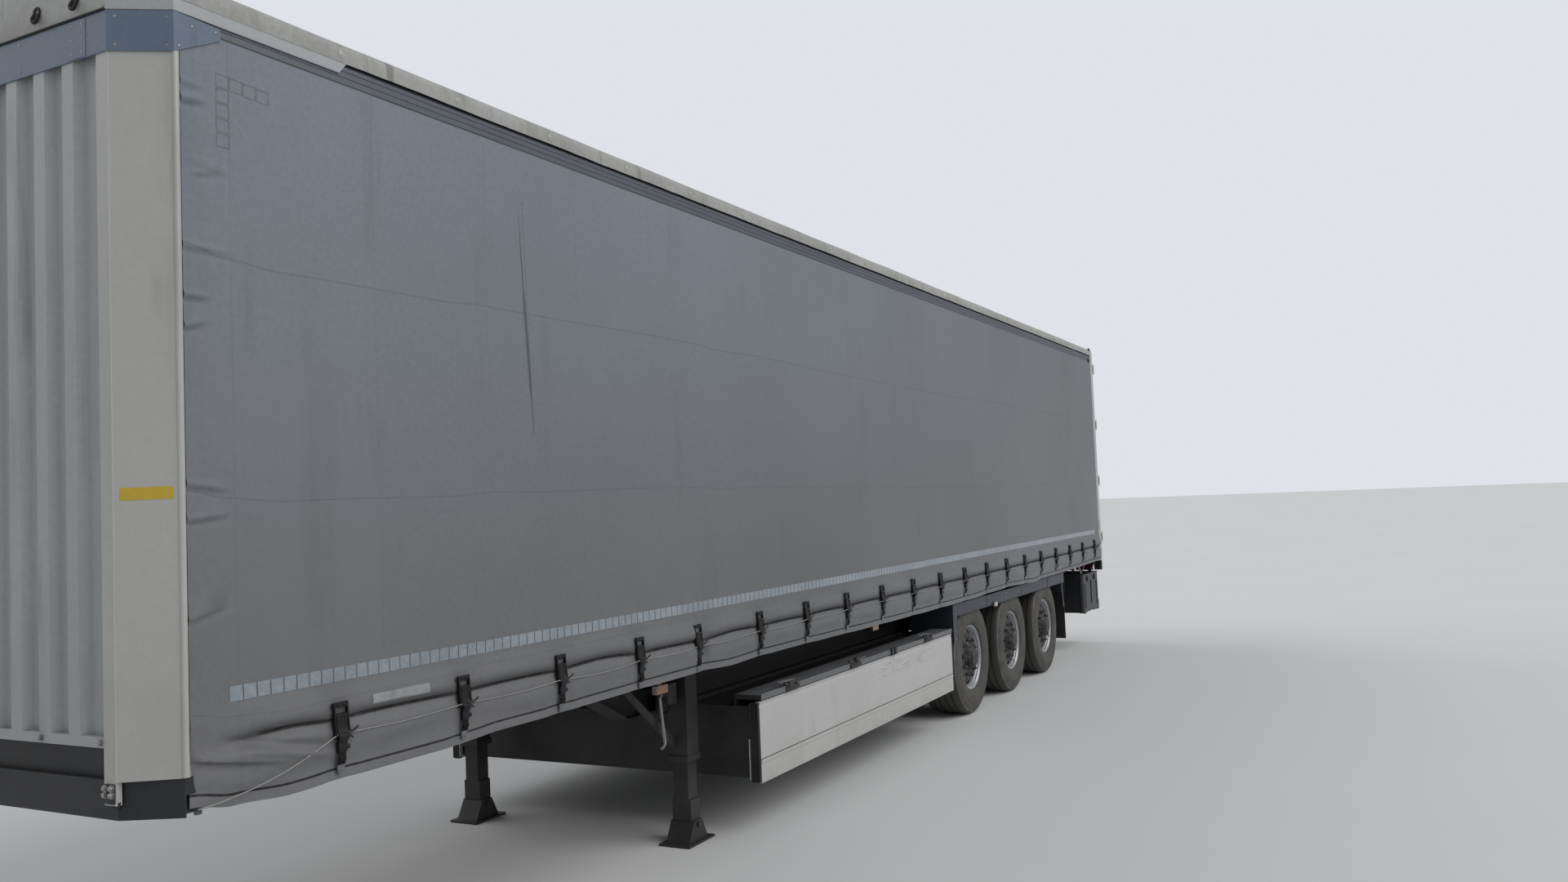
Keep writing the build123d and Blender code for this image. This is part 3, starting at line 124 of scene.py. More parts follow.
class TrailerColours(bpy.types.PropertyGroup):
    """Colours of the finishes."""

    curtain: a_colour("Curtain", "Grey of the curtain cloth", (0.172, 0.178, 0.192))
    body: a_colour("Body", "Cream white of the front wall, corner posts and rear frame", (0.4, 0.4, 0.38))
    header: a_colour("Header", "Blue grey of the bent plate across the front", (0.105, 0.14, 0.2))
    roof: a_colour("Roof sheet", "Dirty white of the roof sheet", (0.38, 0.385, 0.375))
    # The rail grey is set darker than dull aluminium, as painted shade: the rails sit recessed under the roof
    # sheet's edge
    rail: a_colour("Rails", "Dull aluminium of the roof rails", (0.1, 0.11, 0.13))
    tape: a_colour("Tape", "Pale blue of the reflective tape", (0.245, 0.28, 0.325))
    flap: a_colour("Side flap", "Off-white of the pallet box flaps", (0.44, 0.44, 0.43))
    guard: a_colour("Guards", "Blue black of the mudguards", (0.024, 0.029, 0.044))
    # The chassis grey is set darker as painted shade: the frame and running gear sit in shade under the
    # trailer
    chassis: a_colour("Chassis", "Dark grey of the frame and running gear", (0.018, 0.019, 0.022))
    rubber: a_colour("Rubber", "Black of seals, buffers and mud flaps", (0.016, 0.016, 0.017))
    tyre: a_colour("Tyre", "Worn black of the tyres", (0.03, 0.03, 0.03))
    rim: a_colour("Rim", "Silver of the rims", (0.42, 0.43, 0.45))
    dust: a_colour("Dust", "Dried road dust", (0.2, 0.175, 0.14))


def sizes():
    """The sizes that the sidebar shows."""
    return bpy.context.scene.trailer_sizes


def colours():
    """The colours that the sidebar shows."""
    return bpy.context.scene.trailer_colours


def clear():
    """Leave edit mode and deselect everything."""
    if bpy.context.object and bpy.context.object.mode != "OBJECT":
        bpy.ops.object.mode_set(mode="OBJECT")
    bpy.ops.object.select_all(action="DESELECT")


def hold(piece):
    """Make one piece the only selected and active one."""
    clear()
    piece.select_set(True)
    bpy.context.view_layer.objects.active = piece
    return piece


def adopt(name):
    """Name the piece that was just added and put its place into its mesh."""
    piece = hold(bpy.context.object)
    piece.name = name
    piece.data.name = name
    bpy.ops.object.transform_apply(location=True, rotation=True, scale=True)
    return piece


def slab(name, low, high, rounding=0.0, segments=2):
    """A rectangular bar or plate between two corners, with its edges rounded where a rounding is given."""
    low, high = Vector(low), Vector(high)
    clear()
    bpy.ops.mesh.primitive_cube_add(size=1.0, location=(low + high) / 2)
    bpy.context.object.scale = high - low
    piece = adopt(name)
    return ease(piece, rounding, segments) if rounding else piece


def pin(name, start, end, radius, sides=16):
    """A round bar between two points, as a start for a piece."""
    start, end = Vector(start), Vector(end)
    run = end - start
    clear()
    bpy.ops.mesh.primitive_cylinder_add(vertices=sides, radius=radius, depth=run.length,
        location=(start + end) / 2, rotation=run.to_track_quat("Z", "Y").to_euler())
    return adopt(name)


def dome(name, centre, radius, height, normal):
    """A low round button on a surface."""
    clear()
    bpy.ops.mesh.primitive_uv_sphere_add(segments=14, ring_count=8, radius=1.0, location=(0, 0, 0))
    piece = adopt(name)
    work(piece, "VERT", lambda at, way: at.z < -0.01, bpy.ops.mesh.delete, type="VERT")
    work(piece, "EDGE", lambda at, way: at.z < 0.02, bpy.ops.mesh.edge_face_add)
    piece.data.transform(Matrix.Diagonal((radius, radius, height, 1.0)))
    turn_up = Vector(normal).to_track_quat("Z", "Y").to_matrix().to_4x4()
    piece.data.transform(Matrix.Translation(Vector(centre)) @ turn_up)
    return piece


def work(piece, kind, test, tool, **settings):
    """In edit mode, pick corners, edges or faces by place and direction, and use one tool on them."""
    hold(piece)
    bpy.ops.object.mode_set(mode="EDIT")
    bpy.ops.mesh.select_mode(type=kind)
    bpy.ops.mesh.select_all(action="DESELECT")
    shell = bmesh.from_edit_mesh(piece.data)
    parts = {"VERT": shell.verts, "EDGE": shell.edges, "FACE": shell.faces}[kind]
    for part in parts:
        if kind == "VERT":
            at, way = part.co, part.normal
        elif kind == "EDGE":
            at = (part.verts[0].co + part.verts[1].co) / 2
            way = (part.verts[1].co - part.verts[0].co).normalized()
        else:
            at, way = part.calc_center_median(), part.normal
        if test(at, way):
            part.select_set(True)
    shell.select_flush_mode()
    bmesh.update_edit_mesh(piece.data)
    tool(**settings)
    bpy.ops.object.mode_set(mode="OBJECT")
    return piece


def inset(piece, test, thickness, depth):
    """Inset the picked faces, and raise or sink them."""
    return work(piece, "FACE", test, bpy.ops.mesh.inset, thickness=thickness, depth=depth)


def push(piece, test, value):
    """Move the picked corners."""
    return work(piece, "VERT", test, bpy.ops.transform.translate, value=value)


def everything(at, way):
    """Pick all of a piece."""
    return True


def modify(piece, kind, **settings):
    """Add a modifier with its settings and apply it."""
    hold(piece)
    modifier = piece.modifiers.new(kind.title(), kind)
    for word, value in settings.items():
        setattr(modifier, word, value)
    bpy.ops.object.modifier_apply(modifier=modifier.name)
    return piece


def ease(piece, width=0.002, segments=2):
    """Round the sharp edges of a piece a little."""
    return modify(piece, "BEVEL", width=width, segments=segments, limit_method="ANGLE",
        angle_limit=math.radians(35))


def smooth(piece, angle=35.0):
    """Shade a piece smooth up to an angle."""
    hold(piece)
    bpy.ops.object.shade_smooth_by_angle(angle=math.radians(angle), keep_sharp_edges=True)
    return piece


def twin(piece, name, place=Matrix.Identity(4)):
    """A copy with its own mesh, moved, turned or mirrored."""
    other = piece.copy()
    other.data = piece.data.copy()
    other.name = name
    other.data.name = name
    bpy.context.scene.collection.objects.link(other)
    other.data.transform(place)
    if place.is_negative:
        other.data.flip_normals()
    return other


def weld(name, parts):
    """Several parts made into one piece."""
    clear()
    for part in parts:
        part.select_set(True)
    bpy.context.view_layer.objects.active = parts[0]
    if len(parts) > 1:
        bpy.ops.object.join()
    piece = bpy.context.object
    piece.name = name
    piece.data.name = name
    return piece


def repeat(model, name, places):
    """One modelled part at many places, as one piece. The model itself is used up."""
    parts = [twin(model, f"{name}_part", place) for place in places]
    scrap(model)
    return weld(name, parts)


def scrap(piece):
    """Throw away a part that only served as a model."""
    mesh = piece.data
    bpy.data.objects.remove(piece)
    bpy.data.meshes.remove(mesh)


def at(x=0.0, y=0.0, z=0.0):
    """A move, as a matrix."""
    return Matrix.Translation((x, y, z))


def spun(degrees, axis):
    """A turn about an axis, as a matrix."""
    return Matrix.Rotation(math.radians(degrees), 4, axis)


def mirrored(side):
    """The left side as it is for 1, its mirror image on the right for -1, as a matrix."""
    return Matrix.Diagonal((1.0, side, 1.0, 1.0))


def round_axle(count, radius=0.0, start=0.0):
    """Evenly spaced places round a wheel's axle, as matrices."""
    return [Matrix.Rotation(math.tau * i / count + start, 4, "Y") @ at(radius) for i in range(count)]


def both_sides(model, name):
    """A part of the left side with its mirror image on the right."""
    return repeat(model, name, [mirrored(1), mirrored(-1)])


def pair(model, name, finish):
    """Finish a left piece together with its mirror image."""
    return done(both_sides(model, name), finish)


def turned(name, profile, steps, closed=True):
    """A piece spun round the Y axis from its (along, radius) section."""
    clear()
    bpy.ops.mesh.primitive_circle_add(vertices=len(profile), radius=1.0, fill_type="NOTHING")
    piece = adopt(name)
    for vertex, (along, radius) in zip(piece.data.vertices, profile):
        vertex.co = (radius, along, 0.0)
    if not closed:
        first, last = (Vector((radius, along, 0.0)) for along, radius in (profile[0], profile[-1]))
        work(piece, "EDGE", lambda at, way: (at - (last + first) / 2).length < 1e-6, bpy.ops.mesh.delete,
            type="EDGE_FACE")
    work(piece, "VERT", everything, bpy.ops.mesh.spin, steps=steps, angle=math.tau, center=(0, 0, 0),
        axis=(0, 1, 0))
    work(piece, "VERT", everything, bpy.ops.mesh.remove_doubles, threshold=1e-5)
    work(piece, "FACE", everything, bpy.ops.mesh.normals_make_consistent, inside=False)
    return piece


def bent(name, points, radius, sides=3):
    """A tube along a line, made a mesh."""
    clear()
    line = bpy.data.curves.new(name, "CURVE")
    line.dimensions = "3D"
    spline = line.splines.new("NURBS")
    spline.points.add(len(points) - 1)
    for point, place in zip(spline.points, points):
        point.co = (*place, 1.0)
    spline.order_u = 3
    spline.use_endpoint_u = True
    spline.resolution_u = 6
    line.bevel_depth = radius
    line.bevel_resolution = sides
    line.use_fill_caps = True
    tube = bpy.data.objects.new(name, line)
    bpy.context.scene.collection.objects.link(tube)
    hold(tube)
    bpy.ops.object.convert(target="MESH")
    return adopt(name)


def done(piece, material, body="chassis", replaces=()):
    """Give a finished piece its material, the body that it rides on and what it stands for."""
    piece.data.materials.clear()
    piece.data.materials.append(bpy.data.materials[material])
    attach(piece, body)
    if replaces:
        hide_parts(*replaces)
    return piece


def blend_in(value, low, high):
    """0 below low, 1 above high, and a soft step between."""
    share = min(max((value - low) / (high - low), 0.0), 1.0)
    return share * share * (3 - 2 * share)


def bell(value, middle, width):
    """A soft hump round a value."""
    return math.exp(-((value - middle) / width) ** 2)


def ripple(x, y, seed):
    """Smooth noise between -1 and 1."""
    return noise.noise(Vector((x, y, seed)))


# Shader nodes, each added and linked in one go

def feed(socket, source):
    """Link a socket to its source, or give it a plain value."""
    if isinstance(source, bpy.types.NodeSocket):
        socket.id_data.links.new(source, socket)
    else:
        socket.default_value = (*source, 1.0) if socket.type == "RGBA" else source


def put(tree, kind, feeds=None, **settings):
    """A node with its settings, its inputs fed by sockets or values."""
    node = tree.nodes.new("ShaderNode" + kind)
    for word, value in settings.items():
        setattr(node, word, value)
    for word, source in (feeds or {}).items():
        feed(node.inputs[word], source)
    return node


def tree_of(sources):
    """The shader tree that the sockets among some sources belong to."""
    return next(source.id_data for source in sources if isinstance(source, bpy.types.NodeSocket))


def maths(operation, *values, clamp=False):
    """A math node on sockets or numbers."""
    return put(tree_of(values), "Math", dict(enumerate(values)), operation=operation,
        use_clamp=clamp).outputs[0]


times = partial(maths, "MULTIPLY")
plus = partial(maths, "ADD")
minus = partial(maths, "SUBTRACT")
most = partial(maths, "MAXIMUM")
times_plus = partial(maths, "MULTIPLY_ADD")
ping_pong = partial(maths, "PINGPONG")
size_of = partial(maths, "ABSOLUTE")


def step(value, low, high):
    """A soft step from 0 to 1 between two values."""
    feeds = {"Value": value, "From Min": low, "From Max": high}
    return put(value.id_data, "MapRange", feeds, interpolation_type="SMOOTHSTEP").outputs["Result"]


def band(value, middle, outer, inner):
    """A mask of what is near a value: 0 from the outer distance on, 1 within the inner one."""
    return step(size_of(minus(value, middle)), outer, inner)


def mix(share, first, second):
    """A mix of two colours."""
    feeds = {0: share, 6: first, 7: second}
    return put(share.id_data, "Mix", feeds, data_type="RGBA", blend_type="MIX").outputs[2]


def shade(colour, *factors):
    """A colour times one factor, or one for each of its parts."""
    return tuple(part * factor for part, factor in zip(colour, factors * 3))


def axes(vector):
    """The X, Y and Z of a vector."""
    return put(vector.id_data, "SeparateXYZ", {0: vector}).outputs


def stretched(vector, scale):
    """Coordinates with another scale along each axis."""
    return put(vector.id_data, "Mapping", {"Vector": vector, "Scale": scale}).outputs[0]


def clouds(vector, scale, detail, rough=0.5, **more):
    """Noise over a surface."""
    feeds = {"Vector": vector, "Scale": scale, "Detail": detail, "Roughness": rough, **more}
    return put(vector.id_data, "TexNoise", feeds).outputs["Fac"]


def facets(vector, scale, randomness):
    """Small cells, as the distance from their middles."""
    feeds = {"Vector": vector, "Scale": scale, "Randomness": randomness}
    return put(vector.id_data, "TexVoronoi", feeds).outputs["Distance"]


def arrange(tree):
    """Set the nodes of a tree out in columns, each to the left of what it feeds."""
    column = {node.name: 0 for node in tree.nodes}
    for _ in tree.nodes:
        for link in tree.links:
            start, end = link.from_node.name, link.to_node.name
            column[start] = max(column[start], column[end] + 1)
    rows = {}
    for node in tree.nodes:
        place = column[node.name]
        rows[place] = rows.get(place, 0) + 1
        node.location = (-220 * place, -240 * rows[place])


# Shared effects, as shader node groups

def new_group(name, inputs, outputs):
    """An empty shared effect: the sockets that it is given, and those that it puts out."""
    group = bpy.data.node_groups.new(name, "ShaderNodeTree")
    for word, value in inputs.items():
        kind = "Vector" if value is None else "Color" if isinstance(value, tuple) else "Float"
        socket = group.interface.new_socket(word, in_out="INPUT", socket_type="NodeSocket" + kind)
        if value is not None:
            socket.default_value = (*value, 1.0) if kind == "Color" else value
    for word in outputs:
        kind = "Color" if word == "Color" else "Float"
        group.interface.new_socket(word, in_out="OUTPUT", socket_type="NodeSocket" + kind)
    return group.nodes.new("NodeGroupInput").outputs, group.nodes.new("NodeGroupOutput").inputs


def cover(given, out, mask, over):
    """End a shared effect: its colour laid over the given one by a mask, and the mask itself."""
    feed(out["Color"], mix(mask, given["Color"], given[over]))
    feed(out["Mask"], mask)


def build_dust_group():
    """Road dust that is thicker low down and lies in soft patches."""
    given, out = new_group("Road dust", {"Vector": None, "Color": (0.5, 0.5, 0.5), "Dust": (0.2, 0.17, 0.14),
        "Amount": 0.5, "Floor": 0.2, "Low": 0.3, "High": 1.5, "Patch Size": 3.0}, ("Color", "Mask"))
    vector = given["Vector"]
    patches = step(clouds(vector, given["Patch Size"], 6.0, 0.62), 0.32, 0.72)
    specks = step(clouds(vector, 160.0, 3.0, 0.7), 0.3, 0.75)
    body = most(step(axes(vector)["Z"], given["High"], given["Low"]), given["Floor"])
    lay = times(plus(times(body, patches), times(body, 0.4)), times_plus(specks, 0.35, 0.65))
    cover(given, out, times(lay, given["Amount"], clamp=True), "Dust")


def build_mottle_group():
    """Uneven fading of a coat, at a broad and a fine scale."""
    given, out = new_group("Mottle", {"Vector": None, "Color": (0.5, 0.5, 0.5), "Amount": 0.12, "Scale": 1.4},
        ("Color", "Mask"))
    vector = given["Vector"]
    wide = step(plus(clouds(vector, given["Scale"], 4.0, 0.55), clouds(vector, 45.0, 5.0, 0.65)), 0.72, 1.28)
    factor = plus(times(minus(wide, 0.5), given["Amount"]), 1.0)
    faded = put(wide.id_data, "VectorMath", {0: given["Color"], "Scale": factor}, operation="SCALE")
    feed(out["Color"], faded.outputs[0])
    feed(out["Mask"], wide)


def build_streak_group():
    """Runs of dirty water down an upright face."""
    given, out = new_group("Water streaks", {"Vector": None, "Color": (0.5, 0.5, 0.5),
        "Dirt": (0.05, 0.045, 0.04), "Amount": 0.3, "Scale": 9.0}, ("Color", "Mask"))
    vector = given["Vector"]
    lines = step(clouds(stretched(vector, (1.0, 1.0, 0.07)), given["Scale"], 5.0, 0.6), 0.52, 0.7)
    areas = step(clouds(vector, 2.3, 3.0), 0.4, 0.65)
    cover(given, out, times(times(lines, areas), given["Amount"], clamp=True), "Dirt")


def build_chip_group():
    """Chips, scuffs and rust spots in a coat."""
    given, out = new_group("Chips and rust", {"Vector": None, "Color": (0.5, 0.5, 0.5),
        "Under": (0.11, 0.05, 0.022), "Amount": 0.3, "Scale": 26.0}, ("Color", "Mask"))
    spots = step(clouds(given["Vector"], given["Scale"], 8.0, 0.75), 0.6, 0.66)
    areas = step(clouds(given["Vector"], 2.1, 3.0), 0.42, 0.6)
    cover(given, out, times(times(spots, areas), given["Amount"], clamp=True), "Under")


def build_grain_group():
    """The fine roughness of a coat, casting or moulding, as a height."""
    given, out = new_group("Grain", {"Vector": None, "Scale": 300.0}, ("Height",))
    fine, broad = clouds(given["Vector"], given["Scale"], 4.0, 0.6), clouds(given["Vector"], 7.0, 3.0)
    feed(out["Height"], times_plus(fine, 0.5, broad))


def build_weave_group():
    """Coated cloth: fine crossed threads under a smooth coat, as a height."""
    given, out = new_group("Coated weave", {"Vector": None, "Threads": 520.0}, ("Height",))
    feeds = {"Vector": given["Vector"], "Scale": given["Threads"], "Distortion": 0.6, "Detail": 1.0}
    threads = [put(feeds["Vector"].id_data, "TexWave", feeds, wave_type="BANDS",
        bands_direction=way).outputs["Fac"] for way in "XY"]
    feed(out["Height"], times(*threads))


def effect(name, vector, colour=None, **values):
    """A shared effect in a material, with its own values."""
    feeds = {"Vector": vector}
    if colour is not None:
        feeds["Color"] = colour
    feeds.update((word.replace("_", " ").title(), value) for word, value in values.items())
    return put(vector.id_data, "Group", feeds, node_tree=bpy.data.node_groups[name]).outputs


# Finishes

def new_finish(name):
    """An empty material: the inputs of its shader, and the coordinates of its piece."""
    material = bpy.data.materials.new(name)
    material.use_nodes = True
    tree = material.node_tree
    tree.nodes.clear()
    shader = put(tree, "BsdfPrincipled")
    put(tree, "OutputMaterial", {"Surface": shader.outputs[0]})
    return shader.inputs, put(tree, "TexCoord").outputs


def settle(shader, colour, rough, mask, relief, more=None):
    """Feed a shader: colour, a roughness between two by a mask, and a bump of (height, strength, metres)."""
    tree = colour.id_data
    height, strength, distance = relief
    feed(shader["Base Color"], colour)
    ranged = put(tree, "MapRange", {"Value": mask, "To Min": rough[0], "To Max": rough[1]})
    feed(shader["Roughness"], ranged.outputs["Result"])
    bump = put(tree, "Bump", {"Strength": strength, "Distance": distance, "Height": height})
    feed(shader["Normal"], bump.outputs["Normal"])
    for word, source in (more or {}).items():
        feed(shader[word], source)


def coat(name, colour, rough=(0.4, 0.75), metallic=0.0, mottle=0.15, streaks=0.25, chips=0.0,
        chip_colour=(0.11, 0.05, 0.022), chip_scale=26.0, dust=0.4, dust_floor=0.15, dust_low=0.3,
        dust_high=1.6, dust_colour=None, grain=260.0, depth=0.0004, clear_coat=0.0, shine=0.5):
    """A painted, moulded or cast surface with fading, water streaks, chips and road dust."""
    shader, where = new_finish(name)
    vector = where["Object"]
    fade = effect("Mottle", vector, colour, amount=mottle)["Color"]
    run = effect("Water streaks", vector, fade, amount=streaks)["Color"]
    worn = effect("Chips and rust", vector, run, under=chip_colour, amount=chips, scale=chip_scale)
    dusty = effect("Road dust", vector, worn["Color"], dust=dust_colour or colours().dust, amount=dust,
        floor=dust_floor, low=dust_low, high=dust_high)
    relief = minus(effect("Grain", vector, scale=grain)["Height"], worn["Mask"])
    settle(shader, dusty["Color"], rough, plus(dusty["Mask"], worn["Mask"], clamp=True), (relief, 0.6, depth),
        {"Metallic": metallic, "Coat Weight": clear_coat, "Specular IOR Level": shine})


def build_painted_finishes():
    """Painted metal of the body and the chassis."""
    tint = colours()
    # Chassis paint: dark grey made darker still as painted shade under the trailer
    coat("Chassis paint", tint.chassis, (0.5, 0.85), chips=0.3, dust=0.14, dust_floor=0.2, dust_low=0.2,
        dust_high=1.2, mottle=0.3, shine=0.35)
    # Painted shade: the front wall paint is the body cream made darker and bluer, as the wall stands in shade
    coat("Wall paint", shade(tint.body, 0.84, 0.88, 0.95), (0.36, 0.65), mottle=0.1, streaks=0.3, chips=0.1,
        chip_colour=(0.12, 0.1, 0.08), dust=0.25, dust_floor=0.12, dust_low=1.1, dust_high=2.4)
    coat("Body paint", tint.body, (0.32, 0.6), mottle=0.06, streaks=0.16, chips=0.1,
        chip_colour=(0.12, 0.1, 0.08), dust=0.25, dust_floor=0.08, dust_low=1.1, dust_high=2.2,
        clear_coat=0.2)
    coat("Header paint", tint.header, (0.4, 0.65), mottle=0.16, streaks=0.4, chips=0.15,
        chip_colour=(0.26, 0.27, 0.28), dust=0.12, dust_floor=0.25)
    coat("Door paint", tint.body, (0.34, 0.62), mottle=0.07, streaks=0.35, dust=0.42, dust_floor=0.1,
        dust_low=1.1, dust_high=3.0, clear_coat=0.15)
    coat("Leg paint", (0.022, 0.0225, 0.024), (0.5, 0.85), chips=0.45, dust=0.13, dust_floor=0.15, shine=0.3)
    coat("Tank paint", (0.014, 0.014, 0.015), (0.35, 0.8), dust=0.14, dust_floor=0.2, mottle=0.2)
    coat("Ledge paint", (0.11, 0.116, 0.127), (0.4, 0.7), mottle=0.3, streaks=0.3, chips=0.35,
        chip_scale=40.0, chip_colour=(0.2, 0.2, 0.2), dust=0.2, dust_floor=0.25)
    coat("Buckle black", (0.006, 0.006, 0.007), (0.4, 0.7), mottle=0.3, chips=0.2,
        chip_colour=(0.09, 0.09, 0.092), chip_scale=60.0, dust=0.05, dust_floor=0.3,
        dust_colour=(0.12, 0.115, 0.11), grain=700.0, shine=0.3)
    coat("Yellow plate", (0.5, 0.35, 0.03), (0.35, 0.5), mottle=0.1, dust=0.1, dust_floor=0.2)
    coat("White plate", (0.26, 0.265, 0.27), (0.4, 0.6), mottle=0.3, chips=0.5,
        chip_colour=(0.16, 0.16, 0.165), chip_scale=60.0, dust=0.2, dust_floor=0.3)


def build_metal_finishes():
    """Bare, cast and plated metal."""
    coat("Cast iron", (0.035, 0.031, 0.028), (0.6, 0.9), metallic=0.2, chips=0.8,
        chip_colour=(0.11, 0.05, 0.02), chip_scale=12.0, dust=0.16, dust_floor=0.3, grain=160.0, depth=0.001)
    coat("Zinc steel", (0.3, 0.3, 0.295), (0.4, 0.75), metallic=0.7, mottle=0.3, chips=0.4, chip_scale=40.0,
        dust=0.3, dust_floor=0.2)
    coat("Bare steel", (0.4, 0.39, 0.37), (0.25, 0.6), metallic=0.95, mottle=0.25, streaks=0.0, dust=0.2,
        dust_floor=0.2)
    coat("Aluminium", (0.26, 0.275, 0.3), (0.4, 0.7), metallic=0.55, mottle=0.2, streaks=0.3, dust=0.3,
        dust_floor=0.2, dust_low=0.5, dust_high=1.2)


def build_plastic_finishes():
    """Plastic, rubber and webbing."""
    tint = colours()
    coat("Guard plastic", tint.guard, (0.42, 0.75), mottle=0.3, streaks=0.3, dust=0.12, dust_floor=0.25,
        dust_low=0.5, dust_high=1.2, grain=420.0, shine=0.4)
    coat("Black plastic", (0.013, 0.015, 0.02), (0.4, 0.75), mottle=0.25, dust=0.1, dust_floor=0.2,
        grain=600.0, shine=0.35)
    coat("Black rubber", tint.rubber, (0.65, 0.9), mottle=0.3, dust=0.09, dust_floor=0.2, dust_low=0.3,
        dust_high=1.2, grain=500.0, depth=0.0006, shine=0.25)
    coat("Webbing", (0.008, 0.008, 0.009), (0.8, 0.95), mottle=0.3, dust=0.06, dust_floor=0.4, grain=900.0,
        depth=0.0008, shine=0.15)
    coat("Tape ghost", (0.1, 0.104, 0.115), (0.5, 0.6), mottle=0.5, dust=0.1)
    coat("Seal cable", (0.27, 0.27, 0.262), (0.35, 0.6), mottle=0.3, dust=0.2, dust_floor=0.3, clear_coat=0.2)
    coat("Whitish lamp", (0.4, 0.39, 0.35), (0.2, 0.5), mottle=0.1, dust=0.3, dust_floor=0.3, clear_coat=0.6)


def build_flap_finish():
    """Flap paint: off-white with long scuffs from loading along its upper rear part."""
    shader, where = new_finish("Flap paint")
    vector = where["Object"]
    place = axes(vector)
    fade = effect("Mottle", vector, colours().flap, amount=0.1, scale=1.1)["Color"]
    run = effect("Water streaks", vector, fade, amount=0.14)["Color"]
    scratches = step(clouds(stretched(vector, (1.3, 1.0, 34.0)), 5.0, 8.0, 0.72), 0.55, 0.62)
    seam = band(place["Z"], flap_low.z + 0.146, 0.0032, 0.0018)
    area = times(band(place["X"], 0.35, 0.95, 0.35), band(place["Z"], 0.73, 0.085, 0.03))
    scuffs = times(scratches, times(area, 0.85))
    scuffed = mix(scuffs, run, (0.1, 0.1, 0.102))
    scuffed = mix(times(seam, 0.9), scuffed, (0.04, 0.04, 0.042))
    worn = effect("Chips and rust", vector, scuffed, under=(0.13, 0.11, 0.09), amount=0.16,
        scale=14.0)["Color"]
    dusty = effect("Road dust", vector, worn, dust=colours().dust, amount=0.3, floor=0.08, low=0.25,
        high=0.62)
    relief = minus(effect("Grain", vector, scale=260.0)["Height"], scuffs)
    settle(shader, dusty["Color"], (0.34, 0.62), plus(dusty["Mask"], scuffs, clamp=True),
        (relief, 0.6, 0.0004))


def cloth_scar(along, up, vector):
    """A mask of the sewn-up slit near the front of the left curtain, a dark line with stitches across it."""
    lean, foot = -0.0663, 4.8957
    away = size_of(minus(times_plus(up, lean, along), foot))
    slit = times(step(away, 0.0055, 0.001), band(up, 1.84, 0.6, 0.3))
    rungs = times(step(ping_pong(up, 0.0045), 0.0016, 0.003), step(away, 0.0125, 0.0105))
    rungs = times(rungs, band(up, 1.73, 0.27, 0.2))
    return times(most(slit, rungs), step(axes(vector)["Y"], 0.0, 0.1))


def cloth_seams(along, up):
    """A mask of the welded seams of a curtain: three along it, and a faint upright one in every panel."""
    seams = [band(up, level, width, width * 0.3)
        for level, width in ((1.87, 0.005), (1.04, 0.004), (0.3, 0.003))]
    upright = step(ping_pong(along, 0.33), 0.006, 0.001)
    return most(most(most(seams[0], seams[1]), seams[2]), times(upright, 0.35))


